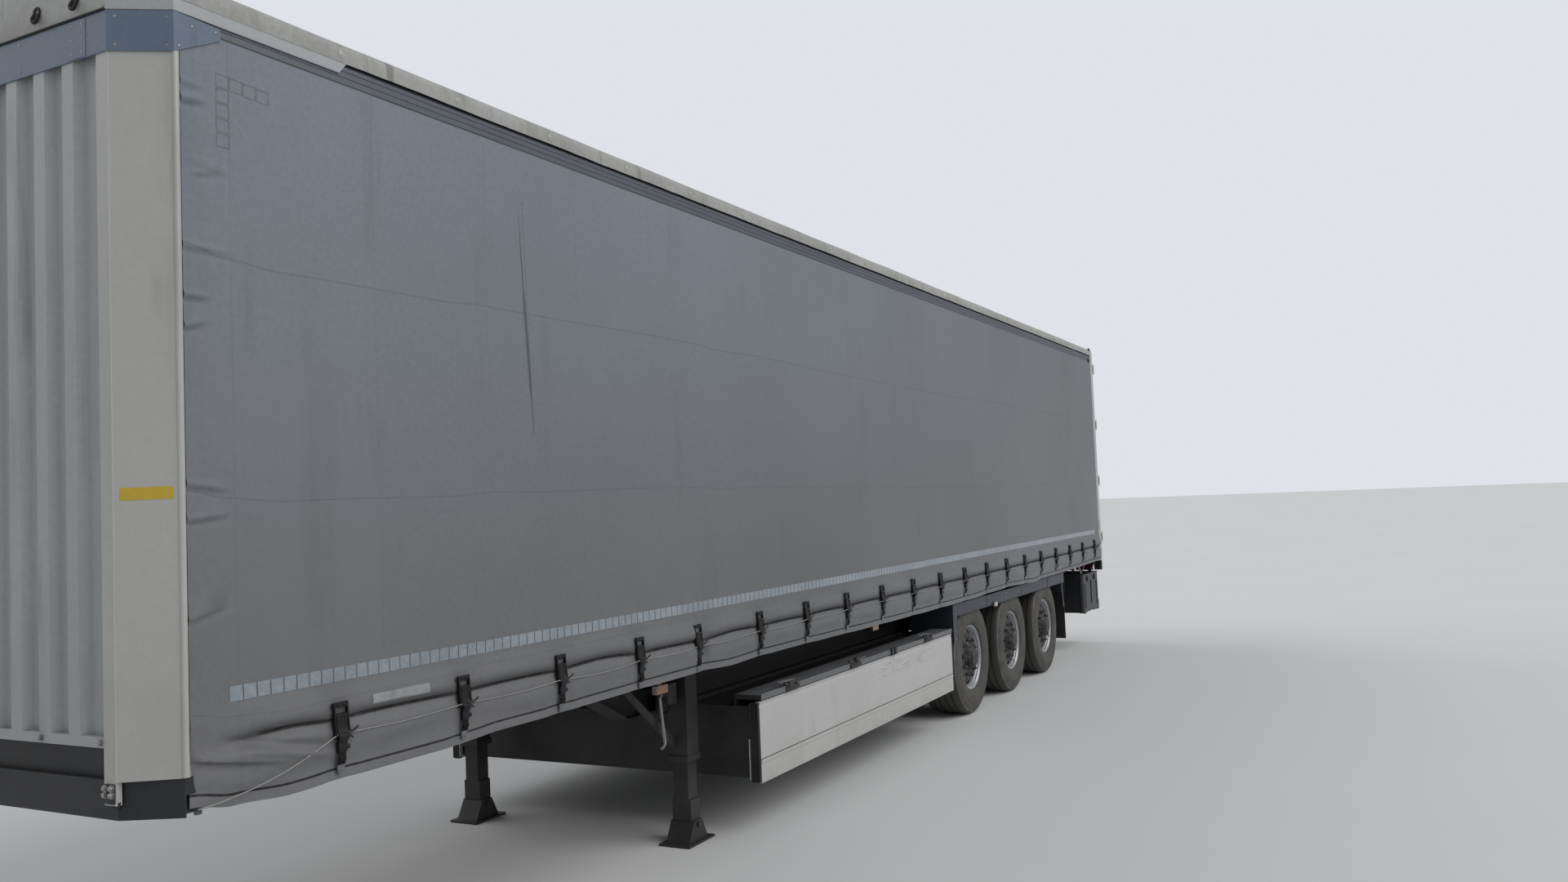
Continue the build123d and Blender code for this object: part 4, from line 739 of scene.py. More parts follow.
def build_cloth_finish():
    """Curtain cloth: grey coated weave, welded seams, streaks, a painted sky reflection, a crease with
    painted shade and dirt, a worn foot.
    """
    shader, where = new_finish("Curtain cloth")
    vector = where["Object"]
    across, folded = (put(vector.id_data, "UVMap", uv_map=word).outputs["UV"] for word in ("Cloth", "Fold"))
    along, up, _ = axes(across)
    strength, height, _ = axes(folded)
    tint, near_black, hem = colours().curtain, (0.012, 0.012, 0.013), sizes().hem_band
    # Painted sky reflection: the cloth grows lighter and bluer towards the top. It is also made darker
    # towards the bottom and towards the rear.
    tone = mix(step(up, 0.2, 2.6), shade(tint, 0.8, 0.78, 0.75), shade(tint, 1.1, 1.18, 1.28))
    tone = mix(times(step(along, 5.5, -5.0), 0.85), tone, shade(tint, 0.87, 0.86, 0.85))
    fade = effect("Mottle", vector, tone, amount=0.15, scale=0.55)["Color"]
    run = effect("Water streaks", vector, fade, amount=0.14, scale=5.0)["Color"]
    seams = cloth_seams(along, up)
    seamed = mix(times(seams, 0.3), run, (0.07, 0.07, 0.078))
    # Painted shade and dirt in the groove of the crease, and painted shade round it, spread wider beside each
    # buckle with rub dirt
    patchy = times_plus(step(clouds(vector, 26.0, 4.0, 0.7), 0.32, 0.6), 0.14, 0.86)
    bite = times(strength, 1.5, clamp=True)
    groove = times(step(size_of(plus(height, 0.008)), 0.0125, 0.004), patchy)
    groove = times(groove, bite, clamp=True)
    beside = step(ping_pong(minus(along, buckle_first), buckle_pitch / 2), 0.07, 0.02)
    rubbed = times(band(height, -0.03, 0.11, 0.03), beside)
    shade_and_rub_dirt = most(times(band(height, 0.008, 0.036, 0.0), bite), times(rubbed, 0.9))
    # Painted shade round the crease first, then painted shade and dirt in its groove
    shaded = mix(times(shade_and_rub_dirt, 0.42), seamed, (0.04, 0.04, 0.042))
    crease_shade_and_dirt = mix(times(groove, 0.9), shaded, near_black)
    # A dark stitch line along the top of the hem band, which also stands in as painted shade at the hem's
    # edge
    stitch = times(band(up, hem, 0.006, 0.0028), patchy)
    worn_hem = mix(times(step(up, hem, hem - 0.004), 0.12), crease_shade_and_dirt, (0.2, 0.2, 0.198))
    dark = mix(times(stitch, 0.9), worn_hem, near_black)
    dark = mix(times(cloth_scar(along, up, vector), 0.75), dark, (0.03, 0.03, 0.032))
    dusty = effect("Road dust", vector, dark, dust=(0.19, 0.18, 0.165), amount=0.06, floor=0.1, low=1.05,
        high=2.3, patch_size=1.6)
    dull = most(most(groove, times(shade_and_rub_dirt, 0.6)), stitch)
    weave = effect("Coated weave", across, threads=330.0)["Height"]
    crumpled = times_plus(clouds(vector, 6.0, 6.0, 0.55), 8.0, weave)
    settle(shader, dusty["Color"], (0.46, 0.75), dusty["Mask"],
        (times_plus(seams, 2.0, crumpled), 0.4, 0.0006),
        {"Specular IOR Level": times(minus(1.0, dull), 0.32)})


def build_roof_finish():
    """Roof sheet: dirty white coated cloth with water streaks and a faint mark over each bow."""
    shader, where = new_finish("Roof cloth")
    vector = where["Object"]
    tree = vector.id_data
    half = bow_pitch / 2
    fade = effect("Mottle", vector, colours().roof, amount=0.25, scale=1.2)["Color"]
    run = effect("Water streaks", vector, fade, amount=0.6, scale=14.0)["Color"]
    phase = ping_pong(minus(axes(vector)["X"], bow_first + half), half)
    marked = mix(times(step(phase, half - 0.03, half), 0.22), run, (0.2, 0.2, 0.19))
    dusty = effect("Road dust", vector, marked, dust=(0.22, 0.21, 0.18), amount=0.55, floor=0.55, low=3.7,
        high=4.1, patch_size=5.0)
    spread = [put(tree, "VectorMath", {0: vector, 1: way}, operation="DOT_PRODUCT").outputs["Value"]
        for way in ((1.0, 0.0, 0.9), (0.0, 1.0, 0.9))]
    flat = put(tree, "CombineXYZ", dict(enumerate(spread))).outputs[0]
    weave = effect("Coated weave", flat, threads=330.0)["Height"]
    settle(shader, dusty["Color"], (0.48, 0.85), dusty["Mask"],
        (times_plus(clouds(vector, 9.0, 7.0, 0.6), 10.0, weave), 0.5, 0.001))


def build_rail_finish():
    """Roof rail: dull aluminium drawn lengthwise, with fine grooves."""
    shader, where = new_finish("Rail aluminium")
    # The rail grey carries painted shade from under the roof sheet's edge
    vector, tint = where["Object"], colours().rail
    fade = effect("Mottle", vector, tint, amount=0.22, scale=0.8)["Color"]
    run = effect("Water streaks", vector, fade, amount=0.35, scale=8.0)["Color"]
    drawn = clouds(stretched(vector, (0.4, 60.0, 60.0)), 6.0, 4.0, 0.6)
    streaked = mix(step(drawn, 0.35, 0.8), run, shade(tint, 1.35))
    dusty = effect("Road dust", vector, streaked, dust=colours().dust, amount=0.3, floor=0.3, low=1.0,
        high=2.0)
    settle(shader, dusty["Color"], (0.42, 0.75), dusty["Mask"], (drawn, 0.5, 0.0008), {"Metallic": 0.45})


def build_deck_finish():
    """Coated plywood: layered veneer with a dark pressed film."""
    shader, where = new_finish("Deck wood")
    vector = where["Object"]
    veneer = clouds(stretched(vector, (0.8, 14.0, 60.0)), 5.0, 8.0, 0.65, Distortion=0.8)
    grainy = mix(step(veneer, 0.3, 0.7), (0.11, 0.06, 0.03), (0.24, 0.145, 0.075))
    worn = effect("Chips and rust", vector, grainy, under=(0.32, 0.23, 0.14), amount=0.6, scale=9.0)["Color"]
    dusty = effect("Road dust", vector, worn, dust=colours().dust, amount=0.4, floor=0.5)
    settle(shader, dusty["Color"], (0.5, 0.85), dusty["Mask"], (veneer, 0.5, 0.0008))


def build_tape_finish():
    """Reflective tape: pale squares with the fine diamond pattern of their prisms."""
    shader, where = new_finish("Reflective tape")
    vector, tint = where["Object"], colours().tape
    cells = facets(vector, 240.0, 0.15)
    tone = mix(step(cells, 0.1, 0.6), tint, shade(tint, 0.82))
    fade = effect("Mottle", vector, tone, amount=0.35, scale=3.5)["Color"]
    dusty = effect("Road dust", vector, fade, dust=(0.2, 0.19, 0.17), amount=0.3, floor=0.4, patch_size=8.0)
    settle(shader, dusty["Color"], (0.22, 0.6), dusty["Mask"], (cells, 0.3, 0.0004), {"Coat Weight": 0.4})


def build_tyre_finish():
    """Tyre rubber: worn black tread, a dusty brown wall and a rubbed shoulder line, by the radius."""
    shader, where = new_finish("Tyre rubber")
    vector = where["Object"]
    radius = axes(where["UV"])["Y"]
    cloud, speck = clouds(vector, 7.0, 6.0, 0.65), clouds(vector, 180.0, 4.0, 0.7)
    patches, grit = step(cloud, 0.25, 0.7), step(speck, 0.25, 0.75)
    wobble = times_plus(cloud, 0.05, radius)
    wall = times(times(step(wobble, 0.535, 0.49), step(wobble, 0.3, 0.36)), patches)
    wall = times(times(wall, grit), 0.85, clamp=True)
    dusty = mix(wall, colours().tyre, (0.15, 0.135, 0.112))
    line = times(band(radius, 0.4985, 0.006, 0.001), patches)
    rubbed = mix(times(line, 0.7), dusty, (0.3, 0.29, 0.27))
    tread = times(step(radius, 0.508, 0.517), grit)
    worn = mix(times(tread, 0.55), rubbed, (0.12, 0.105, 0.085))
    settle(shader, worn, (0.62, 0.95), wall, (speck, 0.6, 0.001))


def build_rim_finish():
    """Rim paint: silver at the flange; inside the dish, painted shade of the recess with dark brake dust and
    rust.
    """
    shader, where = new_finish("Rim silver")
    vector = where["Object"]
    cloud, spots = clouds(vector, 22.0, 7.0, 0.7), clouds(vector, 70.0, 5.0, 0.7)
    # Painted shade in the recessed dish, near black, together with brake dust and grime
    inside = step(axes(where["UV"])["Y"], 0.2645, 0.255)
    dish_shade_and_grime = times(inside, times_plus(step(cloud, 0.3, 0.62), 0.2, 0.8))
    fade = effect("Mottle", vector, colours().rim, amount=0.25, scale=6.0)["Color"]
    dish_darkened = mix(times(dish_shade_and_grime, 0.97), fade, (0.014, 0.0138, 0.0135))
    rusty = mix(times(step(spots, 0.58, 0.66), 0.45), dish_darkened, (0.1, 0.062, 0.04))
    dusty = effect("Road dust", vector, rusty, dust=colours().dust, amount=0.08, floor=0.35, low=0.2,
        high=0.6, patch_size=12.0)
    settle(shader, dusty["Color"], (0.38, 0.8), dish_shade_and_grime, (spots, 0.4, 0.0008),
        {"Metallic": times(minus(1.0, dish_shade_and_grime), 0.45), "Specular IOR Level": 0.35})


def build_lens_finish(name, colour, backed=False):
    """A lamp lens with fine moulded prisms under a clear gloss, with its dark housing where backed."""
    shader, where = new_finish(name)
    vector = where["Object"]
    prisms = facets(vector, 130.0, 0.0)
    tone = mix(step(prisms, 0.1, 0.6), colour, shade(colour, 0.45))
    if backed:
        place = axes(vector)
        inner = step(size_of(place["Y"]), 1.213, 1.212)
        stem = step(place["Z"], 1.09, 1.091)
        tone = mix(most(inner, stem), tone, (0.016, 0.017, 0.02))
    dusty = effect("Road dust", vector, tone, dust=colours().dust, amount=0.4, floor=0.3, patch_size=10.0)
    settle(shader, dusty["Color"], (0.15, 0.6), dusty["Mask"], (prisms, 0.4, 0.0006), {"Coat Weight": 0.7})


def build_finishes():
    """Every shared effect and every material of the trailer."""
    for build in (build_dust_group, build_mottle_group, build_streak_group, build_chip_group,
            build_grain_group, build_weave_group, build_painted_finishes, build_metal_finishes,
            build_plastic_finishes, build_flap_finish, build_cloth_finish, build_roof_finish,
            build_rail_finish, build_deck_finish, build_tape_finish, build_tyre_finish, build_rim_finish):
        build()
    build_lens_finish("Red lens", (0.34, 0.012, 0.01))
    build_lens_finish("Amber lens", (0.35, 0.14, 0.03))
    build_lens_finish("Marker lamp", (0.24, 0.085, 0.025), backed=True)
    build_lens_finish("Clear lens", (0.5, 0.51, 0.53))
    for tree in [*bpy.data.node_groups, *(material.node_tree for material in bpy.data.materials)]:
        if tree:
            arrange(tree)


slot_finish = {"chassis_paint": "Chassis paint", "deck_wood": "Deck wood", "bare_steel": "Bare steel",
    "body_paint": "Body paint", "header_paint": "Header paint", "rail_aluminium": "Rail aluminium",
    "roof_sheet": "Roof cloth", "curtain_sheet": "Curtain cloth", "buckle_black": "Buckle black",
    "door_paint": "Door paint", "zinc_steel": "Zinc steel", "black_rubber": "Black rubber",
    "black_plastic": "Black plastic", "cast_brake": "Cast iron", "leg_paint": "Leg paint",
    "flap_paint": "Flap paint", "guard_plastic": "Guard plastic", "tank_paint": "Tank paint",
    "lamp_red": "Red lens", "lamp_amber": "Amber lens", "tyre": "Tyre rubber", "rim_silver": "Rim silver"}


class TRAILER_OT_stage(bpy.types.Operator):
    """Set up the floor, the soft light and the camera"""

    bl_idname = "trailer.stage"
    bl_label = "Stage"

    def execute(self, context):
        clear()
        bpy.ops.mesh.primitive_plane_add(size=400.0, location=(0, 0, -0.002))
        floor = adopt("studio_floor")
        shader, where = new_finish("Studio floor")
        patches = clouds(where["Object"], 0.35, 4.0)
        feed(shader["Base Color"], mix(patches, (0.6, 0.605, 0.61), (0.64, 0.643, 0.645)))
        feed(shader["Roughness"], 0.9)
        floor.data.materials.append(bpy.data.materials["Studio floor"])

        world = bpy.data.worlds.new("Studio air")
        context.scene.world = world
        world.use_nodes = True
        air = world.node_tree
        air.nodes.clear()
        path = put(air, "LightPath").outputs
        seen = put(air, "Background", {"Color": (0.74, 0.765, 0.8), "Strength": 1.0}).outputs[0]
        light = put(air, "Background", {"Color": (0.93, 0.965, 1.0), "Strength": 0.46}).outputs[0]
        clear_view = most(path["Is Camera Ray"], path["Is Transmission Ray"])
        pick = put(air, "MixShader", {0: clear_view, 1: light, 2: seen})
        put(air, "OutputWorld", {0: pick.outputs[0]})
        arrange(air)

        for name, energy, tilt, lean in (("Soft left", 1.6, -50, -10), ("Soft right", 0.85, 52, 8)):
            sun = bpy.data.lights.new(name, "SUN")
            sun.energy = energy
            sun.angle = math.radians(55)
            sun.color = (1.0, 0.99, 0.975)
            lamp = bpy.data.objects.new(name, sun)
            lamp.rotation_euler = (math.radians(tilt), math.radians(lean), 0.0)
            context.scene.collection.objects.link(lamp)

        lens = bpy.data.cameras.new("Camera")
        lens.lens = sizes().camera_lens
        lens.sensor_width = 36.0
        lens.clip_end = 500.0
        camera = bpy.data.objects.new("Camera", lens)
        yaw, pitch, roll = (math.radians(angle) for angle in camera_turn)
        ahead = Vector((math.cos(yaw) * math.cos(pitch), math.sin(yaw) * math.cos(pitch), math.sin(pitch)))
        level = Vector((math.sin(yaw), -math.cos(yaw), 0.0))
        above = level.cross(ahead)
        right = level * math.cos(roll) + above * math.sin(roll)
        up = above * math.cos(roll) - level * math.sin(roll)
        turn = Matrix((right, up, -ahead)).transposed().to_4x4()
        camera.matrix_world = at(*camera_place) @ turn
        context.scene.collection.objects.link(camera)
        context.scene.camera = camera
        context.scene.view_settings.view_transform = "Standard"
        return {"FINISHED"}


class TRAILER_OT_finishes(bpy.types.Operator):
    """Build the materials and lay them on the solid parts"""

    bl_idname = "trailer.finishes"
    bl_label = "Finishes"

    def execute(self, context):
        build_finishes()
        for part in frame["record"]["subparts"]:
            node = frame["nodes"][part["node"]]
            material = bpy.data.materials[slot_finish[part["material_slot"]]]
            if not node.material_slots:
                node.data.materials.append(material)
            for holder in node.material_slots:
                holder.material = material
        # The front wall takes the darker, bluer wall paint with its painted shade
        for name, finish in (("front_wall", "Wall paint"), ("pallet_latches", "Leg paint"),
                ("side_lamps", "Marker lamp")):
            for holder in frame["nodes"][name].material_slots:
                holder.material = bpy.data.materials[finish]
        return {"FINISHED"}


def bay_at(x):
    """The bay between two buckles that a place is in, and its share of the way through it."""
    number = (buckle_first - x) / buckle_pitch
    return math.floor(number), number % 1.0


def near_buckle(x):
    """How far a place is from the nearest buckle, 0 at it and 1 midway to the next."""
    number = (buckle_first - x) / buckle_pitch
    return abs(number - round(number)) * 2


def stops(*runs):
    """Places along a line, from runs of (start, end, number of steps)."""
    places = [runs[0][0]]
    for start, end, count in runs:
        places += [start + (end - start) * (i + 1) / count for i in range(count)]
    return places


def follow(line, x):
    """The value at a place on a line of (place, value) pairs that runs to the rear."""
    for (ahead, first), (behind, second) in zip(line, line[1:]):
        if x >= behind:
            return second + (first - second) * blend_in(x, behind, ahead)
    return line[-1][1]


# Heights of a curtain's foot and of the crease over the side rail, as (place, height) to the rear
foot_line = ((6.785, 1.137), (6.62, 1.109), (6.4, 1.094), (6.2, 1.098), (5.56, 1.097), (5.3, 1.109),
    (4.88, 1.108), (4.18, 1.117), (3.6, 1.121), (3.2, 1.106), (3.0, 1.11), (0.5, 1.086), (-1.2, 1.08),
    (-2.1, 1.09), (-2.46, 1.094), (-3.05, 1.079), (-3.4, 1.064), (-3.7, 1.077), (-4.4, 1.078), (-5.1, 1.083),
    (-6.72, 1.1))
crease_line = ((6.785, 1.332), (6.4, 1.342), (6.2, 1.33), (5.5, 1.321), (4.6, 1.317), (4.1, 1.305),
    (3.5, 1.299), (3.2, 1.306), (2.8, 1.296), (0.0, 1.291), (-6.72, 1.29))
# Wrinkles that run in from the front edge of a curtain: height, slope, depth, start and length
edge_wrinkles = ((3.558, 0.0, 0.006, 0.0, 0.1), (3.499, 0.12, 0.01, 0.0, 0.12),
    (3.3, -0.1, 0.009, 0.05, 0.14), (3.252, 0.15, 0.007, 0.05, 0.13), (3.0, 0.0, 0.007, 0.0, 0.22),
    (2.832, 0.03, 0.01, 0.0, 0.12), (2.726, 0.3, 0.009, 0.0, 0.1), (2.2, -0.12, 0.009, 0.0, 0.2),
    (2.08, 0.12, 0.008, 0.0, 0.2), (1.75, 0.3, 0.008, 0.0, 0.3))


def hem_level(x, side):
    """The height of a curtain's foot."""
    sway = sizes().hem_wave * 0.5 * ripple(x * 0.7, 4.0, side * 7.0)
    return follow(foot_line, x) + (sway + 0.002 * ripple(x * 3.1, 1.0, side * 5.0))


def crease_level(x, side):
    """The height of the crease where a curtain folds over the side rail."""
    bay, share = bay_at(x)
    arch = max(ripple(bay * 3.3, 5.0, side * 4.0) + 0.35, 0.0)
    arch *= math.sin(share * math.pi) * (x < buckle_first)
    return follow(crease_line, x) + 0.004 * ripple(x * 0.9, 6.0, side * 2.0) + 0.014 * arch


def crease_strength(x, side):
    """How strong that crease is: pinched at the buckles, different in each bay, faint at the front edge."""
    loose = math.sin(near_buckle(x) * math.pi / 2)
    bay, _ = bay_at(x)
    full = 1.0 + 0.35 * ripple(bay * 5.3, 2.0, side * 9.0)
    return (0.55 + 0.45 * loose) * full * blend_in(curtain_front - x, 0.06, 0.45)


def overhang(height, reach):
    """The section of a fold: it swells towards a sharp lower lip, 0 at the crease below it."""
    swell = blend_in(reach - height, 0.0, reach - 0.01) ** 1.5
    return swell * blend_in(height, -0.003, 0.006)


def front_fold(x):
    """Height and strength of the second fold, low down at the front end."""
    level = 1.281 - (6.756 - x) * 0.218
    return level, blend_in(x, 6.33, 6.62) * blend_in(curtain_front - x, 0.0, 0.03)


def cloth_out(x, z, side):
    """How far a curtain stands out from its plane at a place."""
    top = blend_in(curtain_high.z - z, 0.05, 0.7)
    ends = blend_in(curtain_front - x, 0.0, 0.5) * blend_in(x - curtain_rear, 0.0, 0.5)
    broad = ripple(x * 0.42, z * 0.5, side * 11.0) + 0.45 * ripple(x * 1.1, z * 0.9, side * 3.0)
    out = sizes().slack * broad * top * ends
    height = z - crease_level(x, side)
    strength = crease_strength(x, side)
    above, below = max(height, 0.0), max(-height, 0.0)
    lip = blend_in(above, -0.002, 0.022) * (1.0 - blend_in(above, 0.035, 0.13))
    free = blend_in(near_buckle(x), 0.1, 0.34)
    out += sizes().fold_depth * strength * lip * (0.12 + 0.88 * free)
    belly = blend_in(below, 0.0, 0.06) - 0.75 * blend_in(below, 0.07, 0.19)
    out += 0.022 * (0.4 + 0.6 * strength) * belly * blend_in(curtain_front - x, 0.0, 0.3)
    loose = math.sin(near_buckle(x) * math.pi / 2)
    out += 0.008 * ripple(x * 1.6, z * 17.0, side * 5.0) * blend_in(below, 0.015, 0.06) * loose
    out -= 0.009 * (1.0 - free) * blend_in(below, 0.0, 0.04)
    bay, share = bay_at(x)
    arch = math.sin(share * math.pi)
    lean = ripple(bay * 2.7, 8.0, side * 3.0)
    second = height - 0.05 - 0.05 * (share if lean > 0 else 1.0 - share)
    out += 0.009 * abs(lean) * arch * overhang(second, 0.05)
    third = height + 0.07 + 0.03 * arch
    out += 0.004 * max(ripple(bay * 7.1, 1.0, side * 6.0), 0.0) * arch * bell(third, 0.0, 0.012)
    level, amount = front_fold(x)
    out += 0.016 * amount * overhang(z - level, 0.05)
    out += 0.008 * amount * bell(z, level - 0.06, 0.03)
    higher = blend_in(x, 6.12, 6.3) * (1.0 - blend_in(x, 6.55, 6.72))
    out += 0.012 * higher * (bell(z, level + 0.036, 0.016) - bell(z, level + 0.07, 0.015))
    out += ripple(x * 2.3 + z * 5.0, z * 12.0, side * 4.0) * bell(z, 1.42, 0.14) * 0.003
    out += ripple(x * 1.9, 3.0, side * 6.0) * 0.005 * blend_in(1.19 - z, 0.0, 0.06)
    out += 0.012 * bell(x, -3.4, 0.3) * blend_in(1.2 - z, 0.0, 0.12)
    from_edge = curtain_front - x
    if from_edge < 0.5:
        for level, rise, depth, start, length in edge_wrinkles:
            window = blend_in(from_edge, start - 0.02, start + 0.015)
            window *= 1.0 - blend_in(from_edge, start + length * 0.4, start + length)
            away = z - level - rise * from_edge
            out += depth * window * (bell(away, 0.0, 0.012) - 0.6 * bell(away, -0.022, 0.011))
    return out


def curtain_rows():
    """Heights of the upper rows of a curtain, close together where the front edge is wrinkled."""
    heights = {round(curtain_high.z - 0.0725 * i, 4) for i in range(31)}
    for level, *_ in edge_wrinkles:
        near = [level + 0.009 * i for i in range(-4, 4)]
        heights = {z for z in heights if abs(z - level) > 0.04} | {round(z, 4) for z in near}
    ordered = sorted(z for z in heights if z > 1.55)
    return [z for i, z in enumerate(ordered) if i == 0 or z - ordered[i - 1] > 0.004]


class TRAILER_OT_curtains(bpy.types.Operator):
    """Hang the two side curtains with their rail folds and turned hems"""

    bl_idname = "trailer.curtains"
    bl_label = "Curtains"

    def execute(self, context):
        wrinkled = curtain_front - 0.4
        places = stops((curtain_rear, 3.4, 178), (3.4, wrinkled, 76), (wrinkled, curtain_front, 32))
        upper = curtain_rows()
        for word, side in sides:
            columns = []
            for x in places:
                foot, level = hem_level(x, side), crease_level(x, side)
                columns.append(stops((foot, level - 0.13, 6), (level - 0.13, level - 0.03, 16),
                    (level - 0.03, level + 0.03, 15), (level + 0.03, level + 0.12, 9),
                    (level + 0.12, 1.52, 4)) + upper)
            clear()
            bpy.ops.mesh.primitive_grid_add(x_subdivisions=len(places) - 1,
                y_subdivisions=len(columns[0]) - 1, size=1.0,
                rotation=(math.radians(90), 0, math.radians(180 if side > 0 else 0)))
            piece = adopt(f"curtain_cloth_{word}")
            piece.data.uv_layers.active.name = "Cloth"
            cloth_places = []
            for vertex in piece.data.vertices:
                column = round((vertex.co.x + 0.5) * (len(places) - 1))
                row = round((vertex.co.z + 0.5) * (len(columns[0]) - 1))
                x, z = places[column], columns[column][row]
                height = z - crease_level(x, side)
                strength = crease_strength(x, side)
                hang = 0.011 * strength * bell(height, 0.009, 0.009)
                low, amount = front_fold(x)
                hang += 0.006 * amount * bell(z - low, 0.008, 0.008)
                cloth_places.append((x, z - columns[column][0], strength, height))
                vertex.co = (x, side * (curtain_face - 0.0005 + cloth_out(x, z, side)), z - hang)
            folds = piece.data.uv_layers.new(name="Fold").data
            for corner, cloth, fold in zip(piece.data.loops, piece.data.uv_layers["Cloth"].data, folds):
                x, up, strength, height = cloth_places[corner.vertex_index]
                cloth.uv, fold.uv = (x, up), (strength, height)
            modify(piece, "SOLIDIFY", thickness=0.0014, offset=-1.0)
            smooth(piece, 60.0)
            done(piece, "Curtain cloth", replaces=[f"curtain_{word}"])
        return {"FINISHED"}


def lay_on(piece, side, gap=0.0, flat=False):
    """Lay a thin piece on a curtain, following its waves and folds."""
    for vertex in piece.data.vertices:
        x, y, z = vertex.co
        vertex.co.y = side * (curtain_face + gap + (0.0 if flat else y) + cloth_out(x, z, side))
    if side < 0:
        piece.data.flip_normals()
    return piece


class TRAILER_OT_tape(bpy.types.Operator):
    """Stick the reflective squares, the blank plates and the tape ghosts on the curtains"""

    bl_idname = "trailer.tape"
    bl_label = "Tape and plates"

    def execute(self, context):
        square, pitch = sizes().tape_square, sizes().tape_square + sizes().tape_gap
        first, low = 6.635 - square, 1.457
        places = [at(first - pitch * i, 0, low) for i in range(int((first - curtain_rear - 0.16) / pitch))]
        for word, side in sides:
            model = slab("tape_model", (0, -0.0004, 0), (square, 0.0006, square + 0.002), 0.0004, 1)
            tape = repeat(model, f"reflective_tape_{word}", places)
            done(lay_on(tape, side, 0.0004), "Reflective tape")
            plate = slab(f"blank_plate_{word}", (5.722, -0.0004, 1.33), (6.022, 0.0006, 1.385))
            work(plate, "FACE", lambda at, way: abs(way.y) > 0.9, bpy.ops.mesh.subdivide, number_cuts=9)
            done(lay_on(plate, side, 0.0006), "White plate")
            self.ghosts(word, side)
            self.stitches(word, side)
        return {"FINISHED"}

    def ghosts(self, word, side):
        """Outlines that old tape squares left near the front top corner."""
        model = slab("ghost_model", (0, -0.0002, 0), (0.052, 0.0003, 0.048))
        middle = Vector((0.026, 0.0003, 0.024))
        work(model, "FACE", lambda at, way: way.y > 0.9, bpy.ops.mesh.inset, thickness=0.0022)
        for test in (lambda at, way: way.y > 0.9 and (at - middle).length < 0.001,
                lambda at, way: abs(way.y) < 0.9 or way.y < 0):
            work(model, "FACE", test, bpy.ops.mesh.delete, type="FACE")
        places = [at(6.597, 0, 3.575 - 0.0525 * i) for i in range(5)]
        places += [at(6.597 - 0.0555 * i, 0, 3.575 - 0.003 * i) for i in range(1, 4)]
        done(lay_on(repeat(model, f"tape_ghosts_{word}", places), side, 0.0002, True), "Tape ghost")

    def stitches(self, word, side):
        """The long upright row of stitches where a strap is sewn on behind the curtain."""
        model = slab("stitch_model", (0, -0.0002, 0), (0.0035, 0.0005, 0.012), 0.0002, 1)
        places = [at(5.02 - 0.04 * i / 38, 0, 3.49 - 0.0282 * i) for i in range(39)]
        done(lay_on(repeat(model, f"strap_stitches_{word}", places), side), "Tape ghost")


def buckle_place(i):
    """How far forward a buckle sits. The fifth from the front is hooked in a little ahead of its place."""
    return buckle_first - buckle_pitch * i + (0.08 if i == 4 else 0.0)


def leant(angle, height):
    """A turn in the plane of the curtain, about a point at a height, as a matrix."""
    return at(z=height) @ Matrix.Rotation(angle, 4, "Y") @ at(z=-height)


